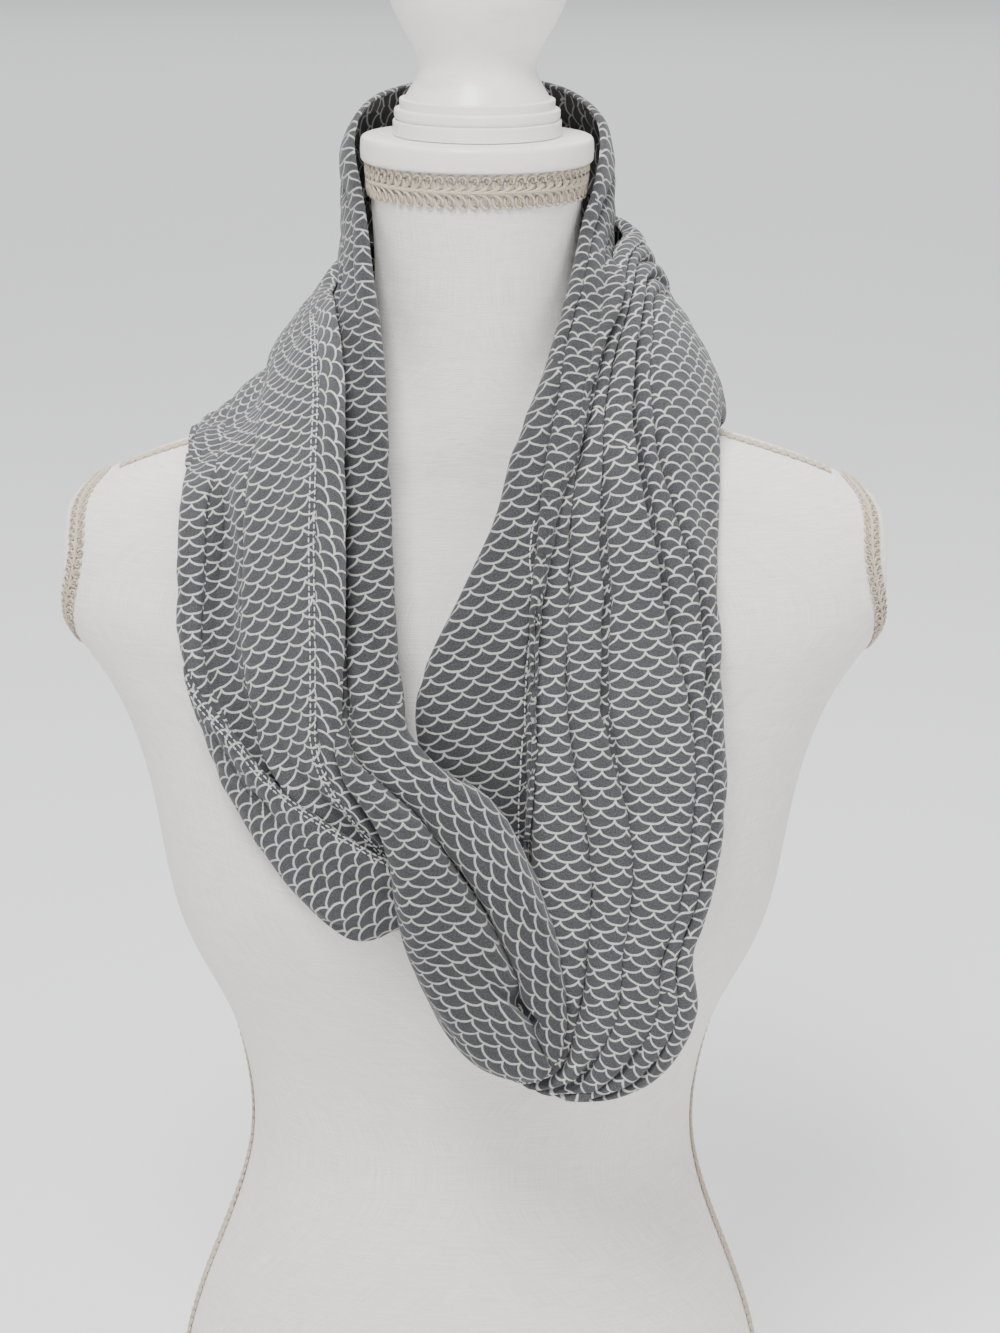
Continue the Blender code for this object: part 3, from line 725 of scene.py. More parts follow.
def fill_weave(tree: Tree, given: Sockets) -> Sockets:
    """Makes a plain weave: warp over weft, with threads of uneven thickness and long slubs.

    Args:
        tree: the group's tree.
        given: a place in millimetres, the pitch of the threads and the strength of the slubs.

    Returns:
        The output sockets.
    """
    parts = tree.put("SeparateXYZ", {0: given["Place"]})
    waves, slubs = [], []
    for axis, stretch in (("X", (1.9, 0.05, 1.0)), ("Y", (0.05, 1.9, 1.0))):
        share = tree.math("DIVIDE", parts.outputs[axis], given["Pitch"])
        waves.append(tree.math("SINE", tree.math("MULTIPLY", share, math.pi)))
        slubs.append(tree.noise(tree.vector("MULTIPLY", given["Place"], stretch), 1.0, 2.0))
    warp, weft = (tree.math("ABSOLUTE", wave) for wave in waves)
    over = tree.math("MULTIPLY", *waves)
    height = tree.math("MAXIMUM", tree.math("MULTIPLY", warp, over), tree.math("MULTIPLY", weft, 0.8))
    slub = tree.math("SUBTRACT", tree.math("ADD", *slubs), 1.0)
    grain = tree.noise(given["Place"], 1.5, 3.0, 0.65)
    lifted = tree.math("MULTIPLY_ADD", slub, given["Slubs"], height)
    return {"Height": lifted, "Slub": slub, "Grain": grain}


def fill_scallop(tree: Tree, given: Sockets) -> Sockets:
    """Makes rows of scallops in outline, each row shifted by half a scallop from the next.

    Args:
        tree: the group's tree.
        given: a place in millimetres, the size of a scallop, and the width and bleed of its line.

    Returns:
        The output sockets.
    """
    parts = tree.put("SeparateXYZ", {0: given["Place"]})
    along = tree.math("DIVIDE", parts.outputs["X"], given["Width"])
    up = tree.math("DIVIDE", parts.outputs["Y"], given["Rise"])
    band = tree.math("FLOOR", up)
    half = tree.math("MULTIPLY", given["Width"], 0.5)
    squeeze = 1.93  # a little under 2, so that the scallops of a row meet at their ends
    nearest = None
    for step in (0.0, 1.0):
        row = tree.math("ADD", band, step)
        shift = tree.math("FRACT", tree.math("MULTIPLY", row, 0.5))
        place = tree.math("SUBTRACT", along, shift)
        side = tree.math("SUBTRACT", place, tree.math("ROUND", place))
        side = tree.math("MULTIPLY", side, squeeze)
        drop = tree.math("SUBTRACT", up, tree.math("ADD", row, 1.0))
        square = tree.math("MULTIPLY", side, side)
        far = tree.math("SUBTRACT", tree.math("MULTIPLY_ADD", drop, drop, square), 1.0)
        level, steep = tree.math("DIVIDE", side, half), tree.math("DIVIDE", drop, given["Rise"])
        slope = tree.math("MULTIPLY_ADD", steep, steep, tree.math("MULTIPLY", level, level))
        slope = tree.math("MULTIPLY", tree.math("SQRT", slope), 2.0)
        gap = tree.math("ABSOLUTE", tree.math("DIVIDE", far, tree.math("MAXIMUM", slope, 0.001)))
        nearest = gap if nearest is None else tree.math("MINIMUM", nearest, gap)
    edge = tree.math("MULTIPLY", given["Line"], 0.5)
    inner = tree.math("SUBTRACT", edge, given["Bleed"])
    outer = tree.math("ADD", edge, given["Bleed"])
    mask = tree.math("SUBTRACT", 1.0, tree.smooth(nearest, inner, outer))
    return {"Mask": mask}


def fill_mottle(tree: Tree, given: Sockets) -> Sockets:
    """Makes a broad, uneven change of tone, as handling and washing give cloth and paint.

    Args:
        tree: the group's tree.
        given: a place in millimetres and the strength of the change.

    Returns:
        The output sockets.
    """
    broad = tree.noise(given["Place"], 0.012, 3.0, 0.55)
    fine = tree.noise(given["Place"], 0.16, 4.0, 0.6)
    tone = tree.math("MULTIPLY_ADD", fine, 0.35, tree.math("MULTIPLY", broad, 0.65))
    tone = tree.math("SUBTRACT", tone, 0.5)
    return {"Tone": tree.math("MULTIPLY", tone, given["Strength"]), "Fine": fine}


WEAVE = Effect(
    "weave", {"Place": "Vector", "Pitch": "Float", "Slubs": "Float"}, ("Height", "Slub", "Grain"), fill_weave
)
SCALLOPS = Effect(
    "scallops",
    {"Place": "Vector", "Width": "Float", "Rise": "Float", "Line": "Float", "Bleed": "Float"},
    ("Mask",),
    fill_scallop,
)
MOTTLE = Effect("mottle", {"Place": "Vector", "Strength": "Float"}, ("Tone", "Fine"), fill_mottle)


def new_material(name: str) -> tuple[Material, Tree, Node]:
    """Starts a material.

    Args:
        name: its name.

    Returns:
        The material, its tree and its Principled BSDF.
    """
    made = bpy.data.materials.new(name)
    made.use_nodes = True
    return made, Tree(made.node_tree), made.node_tree.nodes["Principled BSDF"]


def uv_place(tree: Tree, uv: str) -> NodeSocket:
    """The place on a piece's named flat map, in millimetres."""
    return tree.vector("MULTIPLY", tree.put("UVMap", uv_map=uv).outputs[0], IN_MM)


def object_place(tree: Tree) -> NodeSocket:
    """The place in the part's own frame, in millimetres."""
    return tree.vector("MULTIPLY", tree.put("TexCoord").outputs["Object"], IN_MM)


def shaded(tree: Tree, colour: object, tone: NodeSocket) -> NodeSocket:
    """Makes a colour lighter or darker.

    Args:
        tree: the material's tree.
        colour: the colour, or the socket that gives it.
        tone: how much lighter it gets, as a share round zero.

    Returns:
        The colour's socket.
    """
    factor = tree.math("ADD", tone, 1.0)
    grey = tree.put("CombineXYZ", {0: factor, 1: factor, 2: factor}).outputs[0]
    return tree.vector("MULTIPLY", colour, grey)


def bumped(tree: Tree, *reliefs: tuple[NodeSocket, float]) -> NodeSocket:
    """Lays reliefs one over another.

    Args:
        tree: the material's tree.
        reliefs: for each one its height from 0 to 1, and how many metres that is.

    Returns:
        The normal's socket.
    """
    under = {}
    for height, distance in reliefs:
        values = {"Height": height, "Distance": distance, "Strength": 1.0}
        under = {"Normal": tree.put("Bump", values | under).outputs[0]}
    return under["Normal"]


@dataclass(frozen=True)
class PrintedCloth:
    """Grey woven cotton with an off-white scallop print. Sizes are in millimetres."""

    uv: str = "cloth"
    ground: Colour = srgb(56, 56, 59)
    ground_worn: Colour = srgb(86, 86, 89)
    line: Colour = srgb(204, 204, 200)
    width: float = 12.6
    rise: float = 4.3
    line_width: float = 0.88
    bleed: float = 0.17
    thread: float = 0.34
    # Painted shade: a share by which this copy of the cloth is made darker, for a sheet that lies in shade
    tone: float = 0.0

    def build(self, name: str = "printed_cloth") -> Material:
        """Makes the cloth's material.

        Args:
            name: the material's name.

        Returns:
            The material.
        """
        made, tree, shader = new_material(name)
        place = uv_place(tree, self.uv)
        wander = tree.put("TexNoise", {"Vector": place, "Scale": 0.22, "Detail": 2.0}).outputs["Color"]
        wander = tree.vector("SUBTRACT", wander, (0.5, 0.5, 0.5))
        inked = tree.vector("ADD", place, tree.vector("MULTIPLY", wander, (0.9, 0.9, 0.0)))
        weave = tree.group(WEAVE, {"Place": place, "Pitch": self.thread, "Slubs": 0.5}).outputs
        ink = tree.math("MULTIPLY_ADD", tree.noise(place, 0.5, 3.0), 0.5, self.line_width - 0.25)
        values = {"Place": inked, "Width": self.width, "Rise": self.rise, "Line": ink, "Bleed": self.bleed}
        mask = tree.group(SCALLOPS, values).outputs["Mask"]
        cover = tree.math("MULTIPLY_ADD", weave["Grain"], 0.5, 0.68)
        mask = tree.math("MULTIPLY", mask, tree.math("MINIMUM", cover, 1.0))
        mottle = tree.group(MOTTLE, {"Place": place, "Strength": 0.5}).outputs
        ground = tree.mixed(tree.smooth(weave["Grain"], 0.34, 0.68), self.ground, self.ground_worn)
        tone = tree.math("MULTIPLY_ADD", weave["Slub"], 0.22, mottle["Tone"])
        # Adds the sheet's painted shade to the random tone
        tone = tree.math("ADD", tone, self.tone)
        rough = tree.math("MULTIPLY_ADD", mottle["Fine"], 0.14, 0.80)
        crumple = tree.noise(place, 0.10, 4.0, 0.55)
        tree.feed(shader, {
            "Base Color": shaded(tree, tree.mixed(mask, ground, self.line), tone),
            "Roughness": tree.math("MULTIPLY_ADD", mask, -0.08, rough),
            "Normal": bumped(tree, (crumple, 0.0011), (weave["Height"], 0.00010)),
            "Sheen Weight": 0.16,
            "Sheen Roughness": 0.55,
            "Specular IOR Level": 0.22,
        })
        return made


@dataclass(frozen=True)
class Linen:
    """Off-white linen, stretched over the padded body."""

    uv: str = "linen"
    pale: Colour = srgb(252, 249, 245)
    dark: Colour = srgb(218, 213, 205)
    thread: float = 0.75

    def build(self, name: str = "linen") -> Material:
        """Makes the linen's material.

        Args:
            name: the material's name.

        Returns:
            The material.
        """
        made, tree, shader = new_material(name)
        place = uv_place(tree, self.uv)
        weave = tree.group(WEAVE, {"Place": place, "Pitch": self.thread, "Slubs": 0.9}).outputs
        mottle = tree.group(MOTTLE, {"Place": object_place(tree), "Strength": 0.10}).outputs
        share = tree.math("MULTIPLY_ADD", weave["Slub"], 0.55, 0.5)
        share = tree.math("MULTIPLY_ADD", weave["Grain"], 0.45, tree.math("SUBTRACT", share, 0.22))
        colour = tree.mixed(tree.smooth(share, 0.1, 0.9), self.dark, self.pale)
        pull = tree.noise(tree.vector("MULTIPLY", place, (0.010, 0.028, 1.0)), 1.0, 3.0)
        rub = tree.noise(place, 0.9, 3.0, 0.65)
        tree.feed(shader, {
            "Base Color": shaded(tree, colour, mottle["Tone"]),
            "Roughness": tree.math("MULTIPLY_ADD", weave["Grain"], 0.12, 0.82),
            "Normal": bumped(tree, (pull, 0.0018), (rub, 0.00030), (weave["Height"], 0.00009)),
            "Sheen Weight": 0.12,
            "Sheen Roughness": 0.6,
            "Specular IOR Level": 0.2,
        })
        return made


@dataclass(frozen=True)
class Cord:
    """Twisted cotton cord, painted darker in the grooves between its plies as painted shade. The flat map
    runs along the cord and round it.
    """

    uv: str = "cord"
    pale: Colour = srgb(232, 219, 198)
    # Painted shade: the colour painted into the grooves between the plies
    dark: Colour = srgb(146, 126, 100)
    twist: float = 1.4
    plies: float = 0.55

    def build(self, name: str = "gimp_cord") -> Material:
        """Makes the cord's material.

        Args:
            name: the material's name.

        Returns:
            The material.
        """
        made, tree, shader = new_material(name)
        place = uv_place(tree, self.uv)
        parts = tree.put("SeparateXYZ", {0: place})
        turn = tree.math("MULTIPLY_ADD", parts.outputs["Y"], self.twist, parts.outputs["X"])
        ply = tree.math("SINE", tree.math("MULTIPLY", turn, 2 * math.pi / self.plies / 2))
        ply = tree.math("MULTIPLY_ADD", ply, 0.5, 0.5)
        mottle = tree.group(MOTTLE, {"Place": object_place(tree), "Strength": 0.45}).outputs
        fibre = tree.noise(place, 5.0, 2.0)
        # Painted shade: darker where the ply wave of the bump dips into the grooves, with a random fibre tone
        # over it
        share = tree.math("MULTIPLY_ADD", fibre, 0.5, tree.math("MULTIPLY", ply, 0.6))
        tree.feed(shader, {
            "Base Color": shaded(tree, tree.mixed(share, self.dark, self.pale), mottle["Tone"]),
            "Roughness": tree.math("MULTIPLY_ADD", fibre, 0.2, 0.6),
            "Normal": bumped(tree, (ply, 0.00012)),
            "Sheen Weight": 0.2,
            "Specular IOR Level": 0.3,
        })
        return made


@dataclass(frozen=True)
class PaintedWood:
    """Turned wood under white satin paint, a little yellowed and brushed round."""

    paint: Colour = srgb(240, 237, 231)
    aged: Colour = srgb(222, 214, 200)

    def build(self, name: str = "painted_wood") -> Material:
        """Makes the paint's material.

        Args:
            name: the material's name.

        Returns:
            The material.
        """
        made, tree, shader = new_material(name)
        place = object_place(tree)
        mottle = tree.group(MOTTLE, {"Place": place, "Strength": 0.07}).outputs
        brush = tree.noise(tree.vector("MULTIPLY", place, (0.03, 0.03, 1.3)), 1.0, 3.0)
        stain = tree.noise(tree.vector("MULTIPLY", place, (0.03, 0.03, 0.09)), 1.0, 4.0, 0.6)
        stain = tree.smooth(stain, 0.52, 0.80)
        chips = tree.smooth(tree.noise(place, 0.42, 2.0), 0.70, 0.74)
        share = tree.math("MULTIPLY_ADD", chips, 0.35, tree.math("MULTIPLY", stain, 0.55))
        tree.feed(shader, {
            "Base Color": shaded(tree, tree.mixed(share, self.paint, self.aged), mottle["Tone"]),
            "Roughness": tree.math("MULTIPLY_ADD", brush, 0.18, 0.26),
            "Normal": bumped(tree, (brush, 0.00010), (mottle["Fine"], 0.00025)),
            "Coat Weight": 0.25,
            "Coat Roughness": 0.22,
        })
        return made


@dataclass(frozen=True)
class PlainFloor:
    """Pale, matt seamless floor."""

    colour: Colour = srgb(232, 232, 231)

    def build(self, name: str = "pale_floor") -> Material:
        """Makes the floor's material.

        Args:
            name: the material's name.

        Returns:
            The material.
        """
        made, tree, shader = new_material(name)
        place = tree.vector("MULTIPLY", object_place(tree), (0.3, 0.3, 0.3))
        mottle = tree.group(MOTTLE, {"Place": place, "Strength": 0.05}).outputs
        tree.feed(shader, {"Base Color": shaded(tree, self.colour, mottle["Tone"]), "Roughness": 0.9})
        return made


@dataclass
class SweptGrid:
    """Outer face of a turn before it is lifted: a row of points for each section, a column across.

    Attributes:
        names: the stretches, end to end.
        columns: columns in each panel.
        step: spacing of the sections in millimetres.
        ends: the section at which each stretch starts, and the last one.
        spots: how far along the turn each section lies.
        lines: for each section the place of each pleat line from 0 to 1.
        hand: on which side of the way along the cloth its outer face lies.
    """

    names: tuple[str, ...]
    columns: int
    step: float
    ends: list[int] = field(init=False)
    spots: Array = field(init=False)
    inner: Array = field(init=False)
    outer: Array = field(init=False)
    normal: Array = field(init=False)
    lines: Array = field(init=False)
    hand: float = field(init=False)
    points: Array = field(init=False)

    def __post_init__(self) -> None:
        """Sweeps the stretches' tables."""
        rows, styles, places, joints = [], [], [], [0]
        for name in self.names:
            table = STRETCHES[name]
            rows += table.sections[1 if rows else 0 :]
            styles.append([*table.rims, *table.panels, *sum(table.pleats, ())])
            places.append((joints[-1] + len(rows) - 1) / 2)
            joints.append(len(rows) - 1)
        table = np.array(rows, float)
        middle = (table[:, 0:3] + table[:, 3:6]) / 2
        reach = reach_along(middle)
        spots: list[float] = []
        self.ends = [0]
        for first, last in zip(joints, joints[1:]):
            count = max(4, round((reach[last] - reach[first]) / self.step))
            spots += list(np.linspace(reach[first], reach[last], count + 1)[:-1])
            self.ends.append(len(spots))
        self.spots = np.array(spots + [reach[-1]])
        index = np.interp(self.spots, reach, np.arange(len(table)))
        style = np.array([np.interp(index, places, column) for column in np.array(styles, float).T]).T
        self._shape(spline(reach, table, self.spots), style)

    def _shape(self, rows: Array, style: Array) -> None:
        """Makes the points.

        Args:
            rows: the sections, as in a stretch.
            style: for each section the two rims, the panels' heights and the pleats.
        """
        count = len(STRETCHES[self.names[0]].pleats)
        self.inner, self.outer = rows[:, 0:3], rows[:, 3:6]
        inner, puff = self.inner, rows[:, 6]
        chord = self.outer - inner
        width = np.linalg.norm(chord, axis=1)
        middle = (inner + self.outer) / 2
        normal = unit(np.cross(chord, np.gradient(middle, axis=0)))
        self.hand = float(np.sign((normal * (middle - (0, 10, 0)) * (1, 1, 0)).sum(1).sum()))
        self.normal = normal * self.hand
        self.lines = np.column_stack([np.zeros(len(rows)), rows[:, 7:], np.ones(len(rows))])
        panels, pleats = style[:, 2 : 3 + count], style[:, 3 + count :]
        grid = []
        for k in range(count + 1):
            start, end, rise = self.lines[:, k], self.lines[:, k + 1], puff * panels[:, k]
            half = (end - start) * width / 2
            room = half * (2 if k == 0 else 1), half * (2 if k == count else 1)
            first = (rise, style[:, 0]) if k == 0 else self._dip(rise, puff, pleats, k - 1, 2)
            last = (rise, style[:, 1]) if k == count else self._dip(rise, puff, pleats, k, 1)
            for step in range(self.columns + (k == count)):
                spot = start + (end - start) * (1 - math.cos(math.pi * step / self.columns)) / 2
                high = rise - first[0] * (1 - rounding((spot - start) * width, np.minimum(first[1], room[0])))
                high -= last[0] * (1 - rounding((end - spot) * width, np.minimum(last[1], room[1])))
                grid.append(inner + chord * spot[:, None] + self.normal * high[:, None])
        self.points = np.array(grid).transpose(1, 0, 2)

    @staticmethod
    def _dip(rise: Array, puff: Array, pleats: Array, k: int, side: int) -> tuple:
        """How far a panel comes down to the pleat line beside it, and over what width."""
        return rise - puff * (1 - pleats[:, 3 * k]), pleats[:, 3 * k + side]

    def part_of(self, name: str) -> tuple[int, int]:
        """The first section of a stretch and the one after its last."""
        k = self.names.index(name)
        return self.ends[k], self.ends[k + 1] + 1


@dataclass
class Turn:
    """One turn of the scarf: laid at the solids' own spacing, then made fine.

    Attributes:
        names: its stretches, end to end.
        columns: columns in each panel of the laid grid.
        finer: how many fine columns go in one of those.
        wall: thickness that the solids' wall takes.
        clear: least air between layers.
        reach: how far above the cloth a layer under it is looked for.
        steepest: least share of a lift that counts against a slanting surface.
        lift_passes: how often the lift of a place spreads to its neighbours.
        lift_blur: how often the fine lift is smoothed.
        lift: how far each point of the coarse grid is lifted.
        fixed: which of its sections are laid.
    """

    names: tuple[str, ...]
    columns: int
    finer: int = 3
    wall: float = 1.8
    clear: float = 0.5
    reach: float = 10.0
    steepest: float = 0.4
    coarse_step: float = 15.0
    fine_step: float = 2.6
    lift_passes: int = 12
    lift_blur: int = 8
    coarse: SweptGrid = field(init=False)
    lift: Array = field(init=False)
    fixed: Array = field(init=False)

    def __post_init__(self) -> None:
        """Sweeps the grid that is laid."""
        self.coarse = SweptGrid(self.names, self.columns, self.coarse_step)
        self.lift = np.zeros(self.coarse.points.shape[:2])
        self.fixed = np.zeros(len(self.lift), bool)

    def lay(self, name: str, solids: Sequence[BVHTree], sheets: Sequence[BVHTree]) -> BVHTree:
        """Lifts one stretch off what lies below it.

        Args:
            name: the stretch.
            solids: closed shapes under it.
            sheets: layers of the scarf, and trims, under it.

        Returns:
            A search tree of the laid stretch.
        """
        first, last = self.coarse.part_of(name)
        flat, normal = self.coarse.points, self.coarse.normal
        fine = refined(flat[first:last])
        ways = refined(np.repeat(normal[first:last, None], flat.shape[1], axis=1))
        need = np.zeros(fine.shape[:2])
        air = self.wall + self.clear
        for i, j in np.ndindex(need.shape):
            point, way = Vector(fine[i, j]), Vector(ways[i, j]).normalized()
            for tree in solids:
                spot, face, _, _ = tree.find_nearest(point * MM)
                room = (point - spot / MM).dot(face)
                need[i, j] = max(need[i, j], (air - room) / max(self.steepest, way.dot(face)))
            for tree in sheets:
                start = (point + way * self.reach) * MM
                spot, _, _, far = tree.ray_cast(start, -way, (self.reach + self.wall + self.clear) * MM)
                if spot is not None:
                    need[i, j] = max(need[i, j], self.reach + self.wall + self.clear - far / MM)
        wanted = np.zeros_like(self.lift)
        padded = np.pad(need, 1, mode="edge")
        for i, j in np.ndindex(last - first, self.lift.shape[1]):
            wanted[first + i, j] = padded[2 * i : 2 * i + 3, 2 * j : 2 * j + 3].max()
        free = ~self.fixed
        for _ in range(self.lift_passes):
            pad = np.pad(self.lift, 1, mode="edge")
            around = (pad[:-2, 1:-1] + pad[2:, 1:-1] + pad[1:-1, :-2] + pad[1:-1, 2:]) / 4
            self.lift[free] = np.maximum(wanted, around)[free]
        self.fixed[first:last] = True
        laid = flat[first:last] + normal[first:last, None, :] * self.lift[first:last, :, None]
        return sheet_tree(laid)

    def fine(self) -> tuple[SweptGrid, Array]:
        """Sweeps the turn again with small steps.

        Returns:
            The fine grid, and its points lifted as the laid ones are.
        """
        grid = SweptGrid(self.names, self.columns * self.finer, self.fine_step)
        size = grid.points.shape[1]
        across = np.arange(size) / self.finer
        rows = np.array([np.interp(across, np.arange(self.lift.shape[1]), row) for row in self.lift])
        columns = [np.interp(grid.spots, self.coarse.spots, column) for column in rows.T]
        lift = blurred(np.array(columns).T, self.lift_blur)
        return grid, grid.points + grid.normal[:, None, :] * lift[:, :, None]


Place = tuple[str, float, float]


def on(name: str, *places: tuple[float, float]) -> tuple[Place, ...]:
    """Places on a stretch, from shares of the way along it and across it."""
    return tuple((name, along, across) for along, across in places)


@dataclass(frozen=True)
class Crease:
    """A soft crease.

    Attributes:
        path: places on its line.
        depth: how deep it goes, or how high where it is below zero, in millimetres.
        width: half its width in millimetres.
    """

    path: tuple[Place, ...]
    depth: float
    width: float


CREASES: tuple[Crease, ...] = (
    # left outer fall
    Crease(on(LOF, (0.28, 0.73), (0.45, 0.75), (0.60, 0.74), (0.78, 0.72)), 7.5, 9.0),
    Crease(on(LOF, (0.70, 0.60), (0.84, 0.56)) + on(BACK, (0.0, 0.54), (0.15, 0.50), (0.32, 0.44)), 2.4, 9),
    Crease(on(LOF, (0.10, 0.30), (0.20, 0.30), (0.30, 0.26), (0.42, 0.30)), 1.5, 5),
    Crease(on(LOF, (0.64, 0.24), (0.56, 0.30), (0.46, 0.32)), -0.9, 6),
    Crease(on(LOF, (0.98, 0.30), (0.88, 0.34), (0.76, 0.42)), 1.6, 7),
    Crease(on(LOF, (0.86, 0.18), (0.72, 0.30), (0.55, 0.44)), 1.1, 7),
    Crease(on(LOF, (0.52, 0.20), (0.38, 0.34), (0.26, 0.52)), 1.4, 6),
    Crease(on(LOF, (0.36, 0.50), (0.26, 0.44), (0.16, 0.36), (0.08, 0.28)), 2.4, 4),
    Crease(on(LOF, (0.33, 0.64), (0.22, 0.58), (0.12, 0.50)), -1.6, 4),
    Crease(on(LOF, (0.85, 0.86), (0.65, 0.87), (0.45, 0.88)), 1.4, 5),
    # left neck fall and front crossing
    Crease(on(LNF, (0.15, 0.35), (0.45, 0.38), (0.75, 0.34)), 1.1, 5),
    Crease(on(LNF, (0.80, 0.50), (0.97, 0.35)) + on(FRONT, (0.08, 0.20)), 1.6, 5),
    Crease(on(FRONT, (0.02, 0.50), (0.12, 0.38), (0.22, 0.16)), 1.9, 4.5),
    Crease(on(FRONT, (0.10, 0.62), (0.25, 0.45), (0.40, 0.28), (0.55, 0.20)), 1.8, 5),
    Crease(on(FRONT, (0.30, 0.85), (0.45, 0.75), (0.60, 0.66)), 1.9, 6),
    Crease(on(FRONT, (0.16, 0.84), (0.26, 0.90), (0.38, 0.88)), 2.2, 4),
    Crease(on(FRONT, (0.22, 0.30), (0.34, 0.10), (0.46, 0.04)), 2.2, 4.5),
    Crease(on(FRONT, (0.46, 0.34), (0.56, 0.24), (0.68, 0.20)), 1.5, 4),
    Crease(on(FRONT, (0.52, 0.62), (0.60, 0.74), (0.64, 0.90)), 1.6, 5),
    Crease(on(FRONT, (0.66, 0.94), (0.74, 0.84), (0.84, 0.80)), -1.5, 5),
    Crease(on(FRONT, (0.50, 0.90), (0.62, 0.80), (0.72, 0.66), (0.80, 0.50)), 2.4, 6),
    Crease(on(FRONT, (0.60, 0.56), (0.74, 0.50), (0.84, 0.36), (0.92, 0.20)), 5.0, 4.5),
    Crease(on(FRONT, (0.78, 0.85), (0.86, 0.70), (0.95, 0.55)), 1.9, 5),
    # right neck fall
    Crease(on(RNF, (0.05, 0.60), (0.20, 0.50), (0.35, 0.45), (0.52, 0.40)), 1.5, 8),
    Crease(on(RNF, (0.15, 0.25), (0.30, 0.30), (0.45, 0.20)), 1.0, 6),
    Crease(on(RNF, (0.55, 0.60), (0.75, 0.62), (0.90, 0.50)), 1.0, 5),
    # right outer fall and bottom turn
    Crease(on(ROF, (0.22, 0.70), (0.38, 0.82), (0.55, 0.94)), 2.2, 6),
    Crease(on(ROF, (0.50, 0.42), (0.65, 0.48), (0.80, 0.53), (0.95, 0.57)), 1.3, 6),
    Crease(on(ROF, (0.45, 0.19), (0.62, 0.30), (0.76, 0.37), (1, 0.37)) + on(BOTTOM, (0.24, 0.51)), 3, 3.4),
    Crease(on(ROF, (0.20, 0.25), (0.375, 0.35), (0.50, 0.48), (0.625, 0.63), (0.80, 0.74)), 3.6, 3.8),
    Crease(on(ROF, (0.55, 0.80), (0.75, 0.90), (1.0, 0.91)) + on(BOTTOM, (0.30, 0.91)), 1.8, 3.0),
    Crease(on(ROF, (0.62, 0.28), (0.80, 0.27), (0.98, 0.29)), 1.2, 4),
    Crease(on(ROF, (0.70, 0.62), (0.85, 0.66)) + on(BOTTOM, (0.05, 0.66)), 1.4, 6),
    Crease(on(BOTTOM, (0.05, 0.62), (0.20, 0.62), (0.35, 0.70)), 1.2, 7),
    Crease(on(BOTTOM, (0.28, 0.40), (0.42, 0.34), (0.54, 0.40)), 2.6, 4.5),
    Crease(on(BOTTOM, (0.40, 0.60), (0.52, 0.67), (0.62, 0.75)), 1.7, 5),
    Crease(on(BOTTOM, (0.55, 0.55), (0.66, 0.58), (0.78, 0.66)), 2.6, 5),
    Crease(on(BOTTOM, (0.78, 0.38), (0.88, 0.46), (0.95, 0.55)), 2.6, 4),
    Crease(on(BOTTOM, (0.60, 0.12), (0.72, 0.14), (0.85, 0.16)), 1.3, 3),
    # hidden sides
    Crease(on(BACK, (0.20, 0.30), (0.35, 0.25), (0.50, 0.28), (0.65, 0.22)), 3.8, 8),
    Crease(on(BACK, (0.15, 0.62), (0.35, 0.58), (0.55, 0.55), (0.75, 0.50)), 4.2, 9),
    Crease(on(BACK, (0.30, 0.80), (0.50, 0.76), (0.70, 0.74)), 3.2, 8),
    Crease(on(BACK, (0.50, 0.42), (0.62, 0.38), (0.80, 0.36)), -2.2, 7),
    Crease(on(NAPE, (0.10, 0.50), (0.30, 0.45), (0.50, 0.52), (0.70, 0.48)), 2.4, 6),
    Crease(on(NAPE, (0.30, 0.80), (0.50, 0.82), (0.75, 0.85)), 1.3, 5),
    Crease(on(NAPE, (0.25, 0.16), (0.48, 0.20)), 1.0, 5),
    # swag
    Crease(on(SWAG, (0.15, 0.50), (0.35, 0.42), (0.60, 0.45)), 1.5, 6),
    Crease(on(SWAG, (0.55, 0.75), (0.70, 0.60), (0.86, 0.50)), 1.7, 5),
    Crease(on(SWAG, (0.74, 0.96), (0.82, 0.78)), 1.8, 4),
)


@dataclass(frozen=True)
class StitchRow:
    """A row of machine stitches on a sheet.

    Attributes:
        path: points of the seam, as in a crease.
        beside: how far the row lies from the seam across the cloth, in millimetres.
    """

    path: tuple[Place, ...]
    beside: float


OUTER_SEAM = on(LOF, (0.03, 0.16), (0.20, 0.14), (0.36, 0.12), (0.60, 0.12), (0.85, 0.12), (0.99, 0.10))
NECK_SEAM = on(RNF, (0.02, 0.93), (0.22, 0.92), (0.36, 0.88), (0.50, 0.70))
SWAG_HEM = on(SWAG, (0.03, 0.0), (0.50, 0.0), (0.97, 0.0))
BOTTOM_HEM = on(BOTTOM, (0.70, 0.07), (0.84, 0.09), (0.96, 0.11))
STITCH_ROWS: tuple[StitchRow, ...] = (
    StitchRow(OUTER_SEAM, 0.9),
    StitchRow(OUTER_SEAM, 3.1),
    StitchRow(NECK_SEAM, -3.4),
    StitchRow(SWAG_HEM, 2.0),
    StitchRow(SWAG_HEM, 4.2),
    StitchRow(BOTTOM_HEM, 0.0),
    StitchRow(BOTTOM_HEM, 2.0),
)


@dataclass(frozen=True)
class Sag:
    """A place where the cloth hangs lower than its solids.

    Attributes:
        centre: the middle of the place.
        reach: how far it reaches along each axis.
        depth: how far the cloth is let down in the middle.
        clear: least height of the cloth's outer face over the form.
        least: the smallest drop that is looked at.
        blur: how often the drop is smoothed.
    """

    centre: Row
    reach: Row
    depth: float
    clear: float = 4.2
    least: float = 0.1
    blur: int = 10


SHOULDER_SAG = Sag(centre=(-112.0, -6.0, 555.0), reach=(32.0, 44.0, 60.0), depth=17.0)


